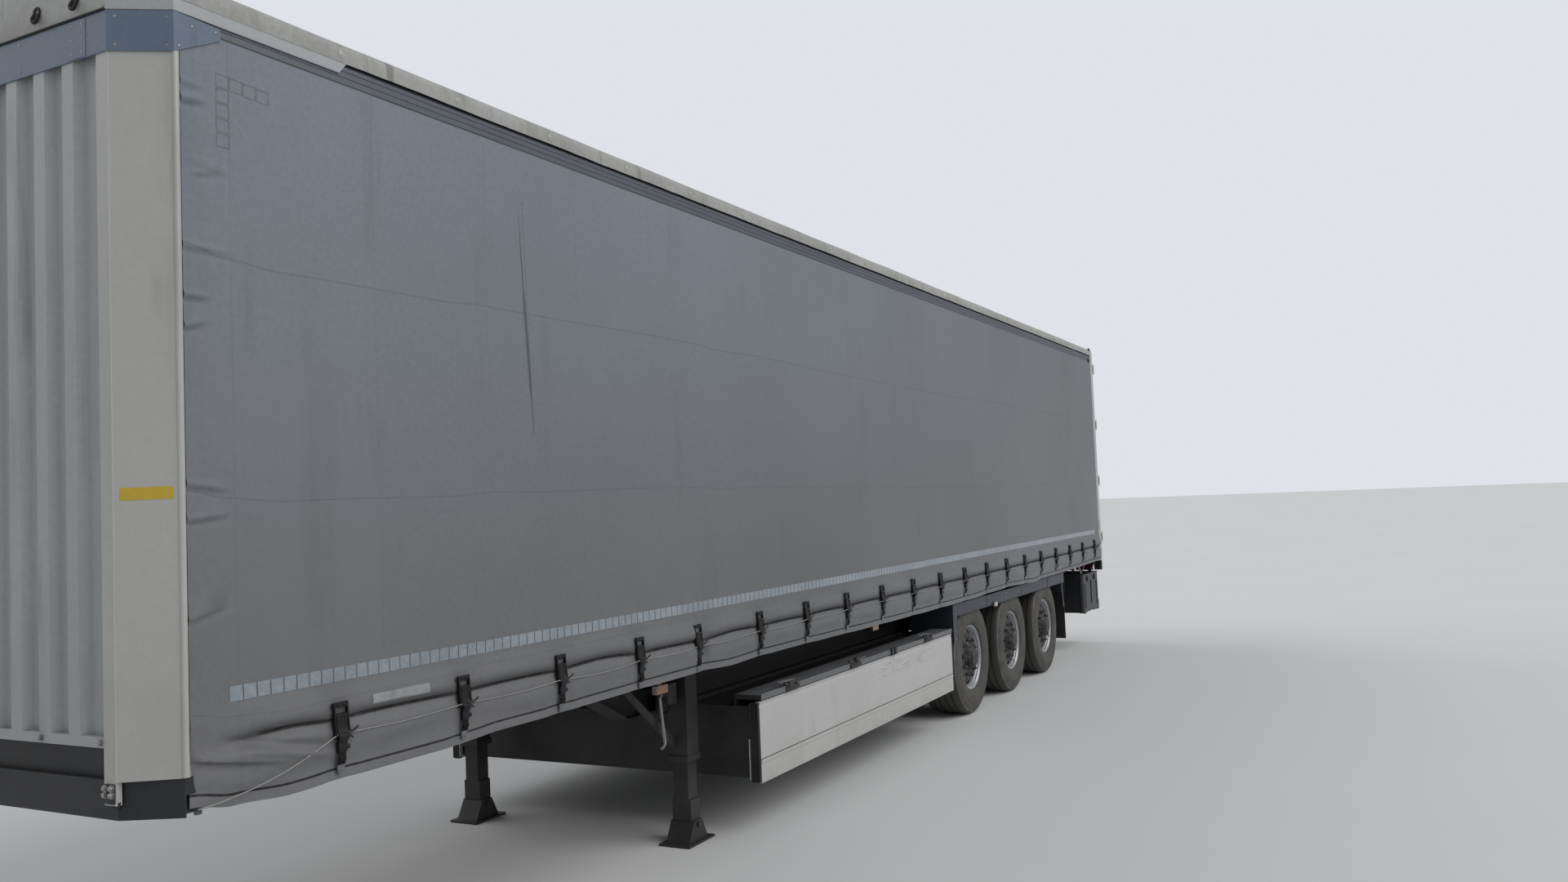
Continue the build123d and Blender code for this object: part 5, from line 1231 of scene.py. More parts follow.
class TRAILER_OT_buckles(bpy.types.Operator):
    """Fit the over-centre buckles, their straps and the seal cables"""

    bl_idname = "trailer.buckles"
    bl_label = "Buckles and straps"

    def execute(self, context):
        models = ((self.clasp(), "buckles", "Buckle black", "buckle_black", ["curtain_straps"]),
            (self.strap(), "straps", "Webbing", "buckle_black", ()),
            (self.foot_plate(), "strap_hooks", "Ledge paint", "zinc_steel", ()))
        for word, side in sides:
            clasp_spots, strap_spots = [], []
            for i in range(buckle_count):
                x = buckle_place(i)
                lean = math.radians(2.0 * ripple(i * 3.7, 1.0, side * 5.0))
                slant = math.radians(5.0 * ripple(i * 1.9, 3.0, side * 8.0))
                lift = 0.006 * ripple(i * 2.1, 7.0, side * 3.0)
                out = 0.003 + 0.6 * sizes().slack * max(ripple(x * 0.42, 0.65, side * 11.0), 0.0)
                clasp_spots.append(mirrored(side) @ at(x, out, lift) @ leant(lean, 1.3))
                strap_spots.append(mirrored(side) @ at(x, out, 0.0) @ leant(slant, 1.24))
            for model, name, finish, slot, stands_for in models:
                spots = clasp_spots if name == "buckles" else strap_spots
                done(repeat(twin(model, "model"), f"{name}_{word}", spots), finish,
                    replaces=stands_for)
            self.cable(word, side)
        for model, *_ in models:
            scrap(model)
        return {"FINISHED"}

    def clasp(self):
        """One buckle: an open frame with a riveted top bar, the lever with its cupped end, fork and stop."""
        face = curtain_face + 0.003
        parts = []
        for x in (-0.034, 0.0275):
            cheek = slab("cheek", (x, face, 1.248), (x + 0.0065, face + 0.026, 1.382))
            push(cheek, lambda at, way: at.z > 1.38 and at.y > face + 0.02, (0, -0.014, 0))
            push(cheek, lambda at, way: at.z < 1.25 and at.y > face + 0.02, (0, -0.004, 0.01))
            parts.append(ease(cheek, 0.0013, 1))
        for low, high, out in ((1.363, 1.381, 0.011), (1.33, 1.34, 0.018)):
            parts.append(slab("bar", (-0.029, face, low), (0.029, face + out, high), 0.0015, 1))
        for x in (-0.014, 0.014):
            parts.append(dome("rivet", (x, face + 0.011, 1.372), 0.0055, 0.004, (0, 1, 0)))
        lever = slab("lever", (-0.0245, face + 0.007, 1.236), (0.0245, face + 0.016, 1.331))
        work(lever, "FACE", lambda at, way: abs(way.y) > 0.9, bpy.ops.mesh.subdivide, number_cuts=5)
        for vertex in lever.data.vertices:
            x, y, z = vertex.co
            vertex.co.y += 0.014 * bell(z, 1.256, 0.02) + 0.003 * math.cos(x * 62.0)
            vertex.co.x *= 1.0 - 0.16 * blend_in(1.262 - z, 0.0, 0.026)
        inset(lever, lambda at, way: way.y > 0.5 and abs(at.x) < 0.016 and 1.265 < at.z < 1.325, 0.002,
            -0.004)
        parts.append(ease(lever, 0.0012, 1))
        parts.append(pin("axle", (-0.037, face + 0.017, 1.27), (0.036, face + 0.017, 1.27), 0.0045, 10))
        parts.append(slab("keeper", (-0.021, face + 0.002, 1.196), (0.021, face + 0.019, 1.237), 0.004))
        parts.append(pin("knob", (-0.031, face + 0.011, 1.214), (0.018, face + 0.011, 1.214), 0.0095, 14))
        parts.append(bent("fork", [(-0.024, face + 0.018, 1.262), (-0.044, face + 0.024, 1.267),
            (-0.064, face + 0.028, 1.284)], 0.004, sides=2))
        parts.append(bent("fork_foot", [(-0.02, face + 0.018, 1.26), (-0.036, face + 0.021, 1.254),
            (-0.043, face + 0.023, 1.243)], 0.0026, sides=2))
        parts.append(slab("stop", (0.033, face + 0.002, 1.366), (0.043, face + 0.007, 1.374), 0.001, 1))
        return smooth(weld("buckle_model", parts), 40.0)

    def strap(self):
        """One webbing strap from the buckle down to its foot plate."""
        face = curtain_face + 0.003
        strap = slab("strap_run", (-0.0195, face + 0.005, 1.152), (0.0195, face + 0.0075, 1.25))
        work(strap, "FACE", lambda at, way: abs(way.y) > 0.9, bpy.ops.mesh.subdivide, number_cuts=4)
        for vertex in strap.data.vertices:
            share = (vertex.co.z - 1.152) / 0.098
            vertex.co.y += 0.008 * math.sin(share * math.pi)
            vertex.co.x *= 1.0 - 0.2 * math.sin(share * math.pi)
        tail = slab("strap_tail", (-0.016, face + 0.01, 1.168), (0.017, face + 0.0125, 1.2))
        push(tail, lambda at, way: at.z < 1.17, (0.004, 0.009, 0))
        return smooth(weld("strap_model", [ease(strap, 0.0006, 1), ease(tail, 0.0006, 1)]), 50.0)

    def foot_plate(self):
        """The pressed plate that hooks the strap into the hem."""
        face = curtain_face + 0.003
        plate = slab("foot_plate", (-0.017, face - 0.002, 1.132), (0.017, face + 0.0065, 1.156))
        inset(plate, lambda at, way: way.y > 0.9, 0.004, -0.0015)
        lip = slab("foot_lip", (-0.013, face - 0.003, 1.118), (0.013, face + 0.003, 1.134))
        return weld("hook_model", [ease(plate, 0.0015), ease(lip, 0.0012)])

    def cable(self, word, side):
        """The thin seal cable, pulled tight through every buckle from corner to corner."""
        y = curtain_face
        route = [(6.765, y + 0.004, 1.129), (6.71, y + 0.014, 1.133), (6.664, y + 0.02, 1.14),
            (6.582, y + 0.024, 1.151), (6.47, y + 0.026, 1.172), (6.352, y + 0.028, 1.208),
            (6.27, y + 0.028, 1.238), (buckle_first + 0.03, y + 0.026, 1.264)]
        for i in range(buckle_count):
            x = buckle_place(i)
            level = 1.268 + 0.005 * ripple(i * 1.7, 4.0, side * 2.0)
            route.append((x, y + 0.03, level))
            drop = 0.01 + 0.012 * abs(ripple(i * 1.3, 2.0, side * 4.0))
            for share in (0.2, 0.35, 0.5, 0.65, 0.8) if i < buckle_count - 1 else ():
                sunk = level - drop * math.sin(share * math.pi)
                route.append((x - buckle_pitch * share, y + 0.03 - 0.01 * math.sin(share * math.pi), sunk))
        route.append((curtain_rear + 0.03, y + 0.004, 1.25))
        clear_route = []
        for x, y, z in route:
            out = max(y, curtain_face + cloth_out(x, z, side) + 0.0035)
            clear_route.append((x, side * out, z))
        tube = bent(f"seal_cable_{word}", clear_route, 0.0022, sides=2)
        smooth(tube, 60.0)
        done(tube, "Seal cable")


def roof_height(x, y):
    """The height of the roof sheet, sunk a little between the bows."""
    reach = abs(y)
    knee_y, knee_z, crown_z, edge_y, edge_z = 0.99, 3.97, 4.0, 1.252, 3.914
    if reach < knee_y:
        z = crown_z - (crown_z - knee_z) * (reach / knee_y) ** 1.6
    else:
        share = (reach - knee_y) / (edge_y - knee_y)
        z = knee_z - (knee_z - edge_z) * share ** 1.15
    number = (bow_first - x) / bow_pitch
    between = abs(math.sin(number * math.pi)) ** 1.4
    sink = sizes().roof_sag * between * (1.0 - blend_in(reach, 0.95, 1.25))
    return z + 0.003 - sink + 0.003 * ripple(x * 2.0, y * 2.0, 5.0)


class TRAILER_OT_roof(bpy.types.Operator):
    """Stretch the roof sheet over the bows and fit its buttons, flashings and rail ribs"""

    bl_idname = "trailer.roof"
    bl_label = "Roof"

    def execute(self, context):
        self.cloth()
        button = dome("button", (0, 1.2725, 3.868), 0.0125, 0.006, (0, 1, 0))
        ring = turned("button_ring", [(0.0, 0.0125), (0.0015, 0.0165), (0.003, 0.0165), (0.003, 0.0125)], 16)
        ring.data.transform(at(0, 1.272, 3.868))
        button = weld("button", [button, ring])
        places = []
        for side in (1.0, -1.0):
            for i in range(20):
                shift = 0.012 * ripple(i * 4.1, 0.0, side * 2.0)
                places.append(mirrored(side) @ at(bow_first - bow_pitch * i + shift))
        buttons = smooth(repeat(button, "roof_buttons", places), 50.0)
        done(buttons, "Body paint")

        flashing = slab("flashing", (6.1, 1.266, 3.788), (6.806, 1.2715, 3.842))
        push(flashing, lambda at, way: at.x < 6.2 and at.z > 3.8, (-0.045, 0, 0))
        ease(flashing, 0.0015, 1)
        bend = slab("flashing_bend", (6.1, 1.2705, 3.788), (6.806, 1.2745, 3.793))
        corner = slab("flashing_corner", (-0.107, -0.004, 3.788), (0.107, 0.0025, 3.842))
        rim = slab("flashing_rim", (-0.107, 0.0, 3.788), (0.107, 0.005, 3.793))
        turn = Matrix.Rotation(chamfer_slant - math.radians(90), 4, "Z")
        for part in (corner, rim):
            ease(part, 0.0012, 1).data.transform(at(6.865, 1.1825) @ turn)
        # The flashings take the wall paint with its painted shade
        pair(weld("flashing", [flashing, ease(bend, 0.001, 1), corner, rim]), "front_flashings", "Wall paint")

        rib = slab("rib", (rail_low.x + 0.004, curtain_face - 0.0045, 0.0),
            (rail_high.x, curtain_face - 0.0012, 0.006), 0.001, 1)
        places = [at(z=z) for z in (3.752, 3.778, 3.803)]
        ribs = repeat(rib, "rail_ribs_left", places)
        pair(ribs, "rail_ribs", "Rail aluminium")

        knob = dome("knob", (rail_low.x + 0.03, 1.262, 3.9), 0.022, 0.03, (0, 0.3, 1))
        stop = slab("stop", (rail_low.x + 0.05, 1.262, 3.735), (rail_low.x + 0.12, 1.276, 3.775), 0.004)
        pair(weld("rear_stop", [knob, stop]), "rear_stops", "Black rubber")
        return {"FINISHED"}

    def cloth(self):
        """The roof sheet: its top, the strips over both rails and the skirt down the front, in one piece."""
        edge = 1.2665
        across = stops((-edge, -1.19, 4), (-1.19, -0.95, 6), (-0.95, 0.95, 22), (0.95, 1.19, 6),
            (1.19, edge, 4))
        strip, skirt, long_steps = 4, 5, 290
        clear()
        bpy.ops.mesh.primitive_grid_add(x_subdivisions=long_steps + skirt,
            y_subdivisions=len(across) - 1 + 2 * strip, size=1.0)
        piece = adopt("roof_cloth")
        for vertex in piece.data.vertices:
            column = round((vertex.co.x + 0.5) * (long_steps + skirt))
            row = round((vertex.co.y + 0.5) * (len(across) - 1 + 2 * strip)) - strip
            inside = min(max(row, 0), len(across) - 1)
            y = across[inside]
            side = 1 if y > 0 else -1
            down_side = abs(row - inside) / strip
            down_front = max(column - long_steps, 0) / skirt
            front = post_face + 0.0015 - max(abs(y) - 1.095, 0.0) / 0.175 * 0.12
            x = curtain_rear + (front - curtain_rear) * min(column / long_steps, 1.0)
            z = roof_height(x, y)
            if abs(y) > 1.252:
                z = 3.901 + 0.013 * math.sqrt(max((edge - abs(y)) / 0.0145, 0.0))
            foot = 3.834 + 0.0035 * ripple(x * 2.2, 1.0, side) + 0.0015 * ripple(x * 9.0, 4.0, side)
            if abs(y) < 1.1:
                foot -= 0.044 * blend_in(1.1 - abs(y), 0.0, 0.03)
            z -= max(down_side, down_front) * (z - foot)
            wave = 0.0012 * ripple(x * 6.0, z * 8.0, side * 3.0) * down_side
            y = side * (abs(y) + 0.0068 * blend_in(down_side, 0.0, 0.35) + wave)
            puff = 0.0035 * abs(math.sin(y * 7.0)) * math.sin(down_front * math.pi)
            x += 0.0032 * blend_in(down_front, 0.0, 0.3) + puff
            vertex.co = (x, y, z)
        modify(piece, "SOLIDIFY", thickness=0.0016, offset=-1.0)
        smooth(piece, 50.0)
        done(piece, "Roof cloth", replaces=["roof_cover"])


class TRAILER_OT_front(bpy.types.Operator):
    """Finish the front wall, corner posts and header with beads, rivets, bolts and hooks"""

    bl_idname = "trailer.front"
    bl_label = "Front end"

    def execute(self, context):
        chamfer_out, chamfer_in = Vector((6.805, 1.27)), Vector((6.925, 1.095))
        chamfer_turn = Matrix.Rotation(chamfer_slant, 4, "Z")
        bead = pin("bead", (6.8, 1.2655, 1.242), (6.8, 1.2655, 3.648), 0.0115, 16)
        corner = pin("corner", (6.922, 1.093, 1.242), (6.922, 1.093, 3.648), 0.005, 12)
        done(smooth(both_sides(weld("bead", [bead, corner]), "post_beads")), "Body paint")

        gap_seal = slab("seal", (6.786, 1.258, 1.242), (6.792, 1.2695, 3.72), 0.0015, 1)
        pair(gap_seal, "curtain_seals", "Black rubber")

        plate = slab("plate", (-0.006, -0.084, 2.15), (0.001, 0.084, 2.192), 0.0008, 1)
        middle = (chamfer_out + chamfer_in) / 2
        plate.data.transform(at(middle.x, middle.y) @ chamfer_turn)
        pair(plate, "post_plates", "Yellow plate")

        rivet = dome("rivet", (0, 0, 0), 0.006, 0.003, (1, 0, 0))
        places = []
        for y in (0.915, 0.971):
            for z in (3.668, 3.716, 3.764):
                places += [at(6.931, y, z), at(6.931, -y, z)]
        for y in (0.3, 0.0, -0.3, 0.62, -0.62):
            for z in (3.668, 3.764):
                places.append(at(6.93, y, z))
        side_turn = spun(90, "Z")
        for x, z in ((6.648, 3.762), (6.74, 3.752), (6.79, 3.67)):
            places.append(at(x, 1.275, z) @ side_turn)
            places.append(at(x, -1.275, z) @ side_turn.inverted())
        for share, z in ((0.12, 3.668), (0.12, 3.764), (0.9, 3.668), (0.9, 3.764)):
            spot = chamfer_in + (chamfer_out - chamfer_in) * share + chamfer_normal * 0.0045
            places.append(at(spot.x, spot.y, z) @ chamfer_turn)
            places.append(at(spot.x, -spot.y, z) @ chamfer_turn.inverted())
        done(smooth(repeat(rivet, "header_rivets", places)), "Zinc steel")

        lap = slab("lap", (6.928, 0.895, 3.65), (6.9318, 0.99, 3.782), 0.001, 1)
        pair(lap, "header_laps", "Header paint")

        strut = slab("strut", (6.728, 1.212, 1.098), (6.752, 1.228, 1.24))
        push(strut, lambda at, way: at.z < 1.15, (-0.02, -0.006, 0))
        ease(strut, 0.003)
        pair(strut, "corner_struts", "Ledge paint")

        jaw = bent("jaw", [(6.915, 1.06, 1.19), (6.915, 1.06, 1.168), (6.915, 1.072, 1.152),
            (6.915, 1.088, 1.156), (6.915, 1.092, 1.175)], 0.007, sides=3)
        cheek = slab("cheek", (6.926, 1.042, 1.17), (6.931, 1.09, 1.235), 0.002)
        pair(smooth(weld("jaw", [jaw, cheek])), "post_hooks", "Leg paint")

        bolt = turned("bolt", [(0.0, 0.0), (0.0, 0.012), (0.004, 0.0125), (0.004, 0.0085), (0.011, 0.0085),
            (0.0125, 0.006), (0.0125, 0.0)], 6, closed=False)
        bolt.data.transform(spun(-90, "Z"))
        places = [at(6.924, y, 1.364) for y in (1.02, 0.7, 0.35, 0.0, -0.35, -0.7, -1.02)]
        places += [at(6.9305, y, z) for y in (1.05, 1.082, -1.05, -1.082) for z in (1.2, 1.222)]
        done(smooth(repeat(bolt, "wall_bolts", places), 25.0), "Zinc steel")

        hook = bent("tarp_hook", [(6.936, -0.004, 3.852), (6.941, -0.016, 3.838), (6.944, -0.012, 3.822),
            (6.945, 0.004, 3.814), (6.943, 0.016, 3.826), (6.939, 0.014, 3.842)], 0.0062, sides=2)
        eyelet = turned("eyelet", [(0.0, 0.009), (0.004, 0.01), (0.005, 0.018), (0.0, 0.021)], 18)
        eyelet.data.transform(at(6.932, 0, 3.856) @ spun(-90, "Z"))
        places = [at(y=y) for y in (0.941, 0.729, 0.43, 0.14, -0.14, -0.43, -0.729, -0.941)]
        done(smooth(repeat(weld("tarp_hook", [hook, eyelet]), "tarp_hooks", places)), "Black rubber")
        piping = bent("piping", [(6.931, 1.09, 3.79), (6.9315, 0.5, 3.789), (6.931, 0.0, 3.79),
            (6.9315, -0.5, 3.789), (6.931, -1.09, 3.79)], 0.005, sides=2)
        done(smooth(piping), "Black rubber")
        return {"FINISHED"}


def fit_wheels(model, part, surface, finish, roll):
    """Map a wheel part by its turn and radius and fit a copy on each hub, each rolled on by another angle."""
    while model.data.uv_layers:
        model.data.uv_layers.remove(model.data.uv_layers[0])
    layer = model.data.uv_layers.new(name="Radius").data
    for corner, spot in zip(model.data.loops, layer):
        place = model.data.vertices[corner.vertex_index].co
        spot.uv = (math.atan2(place.z, place.x) / math.tau, math.hypot(place.x, place.z))
    smooth(model, 32.0)
    for number, x in wheel_x.items():
        for word, side in sides:
            node = f"{part}_{number}_{word}"
            rolled = Matrix.Rotation(number * roll[0] + side * roll[1], 4, "Y")
            turn = spun(0 if side > 0 else 180, "Z") @ rolled
            piece = twin(model, f"{node}_{surface}", at(x, side * wheel_y, wheel_z) @ turn)
            done(piece, finish, f"wheel_{number}_{word}", [node])
    scrap(model)


# The outer half of a tyre's section, from the bead to the shoulder, as (out, radius)
tyre_half = [(0.150, 0.2975), (0.166, 0.3015), (0.176, 0.312), (0.1815, 0.33), (0.186, 0.352), (0.189, 0.378),
    (0.1895, 0.4), (0.1905, 0.403), (0.1905, 0.409), (0.189, 0.412), (0.187, 0.436), (0.182, 0.462),
    (0.1765, 0.482), (0.1755, 0.4845), (0.1745, 0.494), (0.1735, 0.498), (0.17, 0.5005), (0.163, 0.509),
    (0.152, 0.5145), (0.14, 0.517), (0.118, 0.5185)]


class TRAILER_OT_tyres(bpy.types.Operator):
    """Model the tyres with their grooves and bead lines"""

    bl_idname = "trailer.tyres"
    bl_label = "Tyres"

    def execute(self, context):
        depth = sizes().tread_groove
        tread = []
        for centre in (0.1, 0.036):
            tread += [(centre + 0.0075, 0.519), (centre + 0.005, 0.519 - depth),
                (centre - 0.005, 0.519 - depth), (centre - 0.0075, 0.5195)]
        outer = tyre_half + tread
        inner = [(0.132, 0.306), (-0.132, 0.306)]
        profile = outer + [(-a, r) for a, r in reversed(outer)] + inner[::-1]
        model = turned("tyre_model", profile, 108)
        fit_wheels(model, "tyre", "rubber", "Tyre rubber", (1.3, 1.0))
        return {"FINISHED"}


class TRAILER_OT_rims(bpy.types.Operator):
    """Model the rims with their discs, hand holes, wheel nuts and hubs"""

    bl_idname = "trailer.rims"
    bl_label = "Rims and hubs"

    def execute(self, context):
        barrel = turned("barrel", [(0.156, 0.2985), (0.1625, 0.2975), (0.1635, 0.294), (0.1615, 0.29),
            (0.15, 0.2845), (0.146, 0.2805), (0.132, 0.279), (0.127, 0.274), (0.1, 0.268), (0.02, 0.266),
            (-0.1, 0.268), (-0.15, 0.276), (-0.162, 0.286), (-0.162, 0.2965), (-0.152, 0.2975),
            (-0.146, 0.289), (-0.1, 0.283), (-0.02, 0.276), (0.08, 0.277), (0.12, 0.283), (0.148, 0.2885),
            (0.152, 0.296)], 96)
        disc = turned("disc", [(0.118, 0.267), (0.113, 0.2655), (0.1145, 0.258), (0.121, 0.249),
            (0.13, 0.235), (0.136, 0.215), (0.1375, 0.2), (0.1345, 0.19), (0.1335, 0.145), (0.1335, 0.113),
            (0.1215, 0.113), (0.1215, 0.145), (0.1225, 0.19), (0.1255, 0.202), (0.124, 0.215), (0.118, 0.235),
            (0.11, 0.249), (0.102, 0.258), (0.098, 0.2655), (0.098, 0.267)], 100)
        cutter = pin("cutter", (0.233, 0.06, 0.0), (0.233, 0.16, 0.0), 0.0215, 24)
        cutters = repeat(cutter, "cutters", round_axle(10, start=0.31))
        modify(disc, "BOOLEAN", operation="DIFFERENCE", object=cutters, solver="EXACT")
        scrap(cutters)

        ring = turned("nut_ring", [(0.1335, 0.0), (0.1335, 0.019), (0.1365, 0.0195), (0.1385, 0.017),
            (0.1385, 0.0)], 16, closed=False)
        nut = turned("nut", [(0.138, 0.0), (0.138, 0.0165), (0.141, 0.0175), (0.16, 0.0175), (0.163, 0.0155),
            (0.163, 0.0)], 6, closed=False)
        stud = turned("stud", [(0.162, 0.0), (0.162, 0.0105), (0.171, 0.0105), (0.173, 0.0085), (0.173, 0.0)],
            12, closed=False)
        nut_model = weld("nut_model", [ring, nut, stud])
        nuts = repeat(nut_model, "nuts", round_axle(10, 0.1675))

        hub = turned("hub", [(-0.02, 0.0), (-0.02, 0.11), (0.12, 0.11), (0.1335, 0.1125), (0.142, 0.1125),
            (0.145, 0.108), (0.166, 0.103), (0.184, 0.098), (0.186, 0.09), (0.186, 0.083), (0.19, 0.0825),
            (0.2, 0.079), (0.206, 0.07), (0.2085, 0.05), (0.2085, 0.0)], 48, closed=False)
        screw = turned("screw", [(0.184, 0.0), (0.184, 0.006), (0.19, 0.006), (0.192, 0.0045), (0.192, 0.0)],
            6, closed=False)
        screws = repeat(screw, "screws", round_axle(8, 0.09))
        valve = bent("valve", [(0.2, 0.137, 0.0), (0.212, 0.15, 0.0), (0.226, 0.168, 0.0),
            (0.236, 0.176, 0.0)], 0.0045, sides=2)
        model = weld("rim_model", [barrel, disc, nuts, hub, screws, valve])
        fit_wheels(model, "rim", "silver", "Rim silver", (0.7, 0.4))
        return {"FINISHED"}


class TRAILER_OT_side_box(bpy.types.Operator):
    """Trim the pallet box: flap edges and grooves, ledges and latches"""

    bl_idname = "trailer.side_box"
    bl_label = "Pallet box trims"

    def execute(self, context):
        face, low, high = flap_high.y, flap_low.z, flap_high.z
        rear, front = flap_low.x, flap_high.x
        strips = []
        for z, tall, out in ((low + 0.118, 0.024, 0.004), (low, 0.012, 0.002)):
            strips.append(slab("strip", (rear + 0.004, face - 0.001, z),
                (front - 0.004, face + out, z + tall), out * 0.7, 3))
        strips.append(pin("top_roll", (rear + 0.003, face - 0.0075, high - 0.0075),
            (front - 0.003, face - 0.0075, high - 0.0075), 0.0095, 16))
        trim = smooth(weld("flap_trim", strips))
        for word, side in sides:
            place = mirrored(side)
            line = slab("end_line", (front - 0.001, 1.169, low + 0.02), (front + 0.026, 1.1758, low + 0.27))
            trims = weld("flap_trim", [twin(trim, "trim"), ease(line, 0.002)])
            piece = twin(trims, f"flap_trim_{word}", place)
            scrap(trims)
            done(piece, "Flap paint", f"pallet_flap_{word}")
            seal = slab("end_seal", (front - 0.001, 1.176, low + 0.007),
                (front + 0.024, face - 0.002, high - 0.005))
            inset(seal, lambda at, way: way.x > 0.9, 0.008, -0.004)
            ease(seal, 0.003)
            back = slab("back_seal", (rear - 0.008, face - 0.027, low + 0.004),
                (rear + 0.001, face + 0.002, high - 0.004), 0.003)
            seals = weld("seal", [seal, back])
            piece = twin(seals, f"flap_seals_{word}", place)
            scrap(seals)
            done(piece, "Black rubber", f"pallet_flap_{word}")
        scrap(trim)

        out = 1.25
        ledge = slab("ledge", (box_low.x + 0.004, 1.062, 0.8585), (box_high.x - 0.004, out + 0.0012, 0.8618))
        face_strip = slab("ledge_face", (box_low.x + 0.004, out - 0.001, 0.83),
            (box_high.x - 0.004, out + 0.0012, 0.861))
        ledge = weld("ledge", [ease(ledge, 0.0008, 1), ease(face_strip, 0.0008, 1)])
        pair(ledge, "ledge_skins", "Ledge paint")
        lip = slab("lip", (box_low.x + 0.004, out - 0.006, 0.8605), (box_high.x - 0.004, out + 0.002, 0.8655),
            0.0014)
        pair(lip, "ledge_lips", "Aluminium")

        parts, handles = [], []
        for x in (2.41, -0.13):
            body = slab("catch", (x - 0.075, 1.243, 0.842), (x + 0.06, 1.266, 0.897))
            inset(body, lambda at, way: way.z > 0.9, 0.008, 0.0)
            work(body, "FACE", lambda at, way: way.z > 0.9 and abs(at.x - x + 0.0075) < 0.05,
                bpy.ops.transform.translate, value=(0, 0, -0.008))
            ease(body, 0.003)
            parts.append(body)
            parts.append(pin("pivot", (x - 0.03, 1.238, 0.87), (x - 0.03, 1.274, 0.87), 0.012, 14))
            for shift in (0.0, 0.022):
                handles.append(bent("handle", [(x - 0.05, 1.25 - shift, 0.888),
                    (x + 0.03, 1.252 - shift, 0.893), (x + 0.17, 1.248 - shift, 0.9)], 0.0045, sides=2))
        x = 1.39
        parts.append(dome("grip", (x, 1.262, 0.874), 0.026, 0.03, (0, 0.4, 1)))
        parts.append(slab("seat", (x - 0.045, 1.244, 0.838), (x + 0.045, 1.264, 0.866), 0.003))
        handles.append(bent("bow", [(x - 0.04, 1.258, 0.868), (x - 0.1, 1.258, 0.878),
            (x - 0.19, 1.25, 0.882), (x - 0.2, 1.246, 0.87)], 0.005, sides=3))
        for x in (0.62, 0.685):
            parts.append(slab("clip", (x - 0.022, 1.245, 0.82), (x + 0.018, 1.265, 0.875), 0.003))
        pair(smooth(weld("catches", parts)), "latch_bodies", "Leg paint")
        pair(smooth(weld("handles", handles)), "latch_handles", "Ledge paint")
        return {"FINISHED"}


class TRAILER_OT_guards(bpy.types.Operator):
    """Trim the mudguards, the mud flaps and the marker lamps"""

    bl_idname = "trailer.guards"
    bl_label = "Guards and mud flaps"

    def execute(self, context):
        face = guard_high.y
        top = guard_high.z
        edge = slab("edge", (guard_low.x, face - 0.003, top - 0.112),
            (guard_high.x - 0.118, face + 0.003, top - 0.104))
        upper = slab("upper", (guard_low.x, face - 0.003, top - 0.012),
            (guard_high.x, face + 0.003, top + 0.002))
        strip = slab("strip", (guard_high.x - 0.008, face - 0.003, top - 0.338),
            (guard_high.x + 0.002, face + 0.003, top))
        inner = slab("inner", (guard_high.x - 0.124, face - 0.003, top - 0.338),
            (guard_high.x - 0.117, face + 0.002, top - 0.107))
        rolls = [ease(part, 0.0022) for part in (edge, upper, strip, inner)]
        for x in (-1.9, -3.1, -4.15):
            rolls.append(slab("joint", (x - 0.02, face - 0.002, top - 0.104),
                (x + 0.02, face + 0.0025, top - 0.01), 0.001, 1))
        pair(weld("guard_edges", rolls), "guard_rolls", "Guard plastic")

        bolt = dome("bolt", (0, face + 0.001, 0), 0.009, 0.005, (0, 1, 0))
        spots = [at(x, 0, z) for x in (-0.91, -1.9, -2.5, -3.1, -3.7, -4.3, -4.8)
            for z in (top - 0.03, top - 0.085)]
        spots += [at(-0.91, 0, top - 0.24), at(-0.91, 0, top - 0.31)]
        pair(smooth(repeat(bolt, "bolts", spots)), "guard_bolts", "Zinc steel")

        ribs = []
        for i in range(9):
            y = 0.86 + 0.042 * i
            ribs.append(slab("rib", (mud_low.x - 0.003, y, mud_low.z + 0.06),
                (mud_low.x + 0.001, y + 0.012, mud_high.z - 0.28), 0.0012, 1))
        bar = slab("bar", (mud_low.x - 0.008, 0.84, mud_high.z - 0.05),
            (mud_low.x + 0.001, 1.21, mud_high.z - 0.01))
        foot = slab("foot", (mud_low.x - 0.004, 0.838, mud_low.z + 0.002),
            (mud_low.x + 0.001, 1.216, mud_low.z + 0.03))
        ribs += [ease(bar, 0.002), ease(foot, 0.0015)]
        pair(weld("flap_ribs", ribs), "mud_flap_ribs", "Black rubber")

        stay = bent("stay", [(guard_low.x + 0.09, face - 0.01, top - 0.03),
            (guard_low.x + 0.07, face - 0.012, 0.9), (guard_low.x + 0.02, face - 0.014, 0.72),
            (guard_low.x + 0.002, face - 0.016, 0.655)], 0.006, sides=3)
        pair(smooth(stay), "mud_flap_stays", "Aluminium")

        lamp_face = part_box("side_lamps")[1].y
        lenses = []
        x = -2.095
        lenses.append(slab("lens", (x - 0.045, lamp_face - 0.004, 0.933),
            (x + 0.045, lamp_face + 0.006, 0.972), 0.004, 3))
        pair(smooth(weld("lens", lenses)), "skirt_lamps", "Whitish lamp")
        return {"FINISHED"}


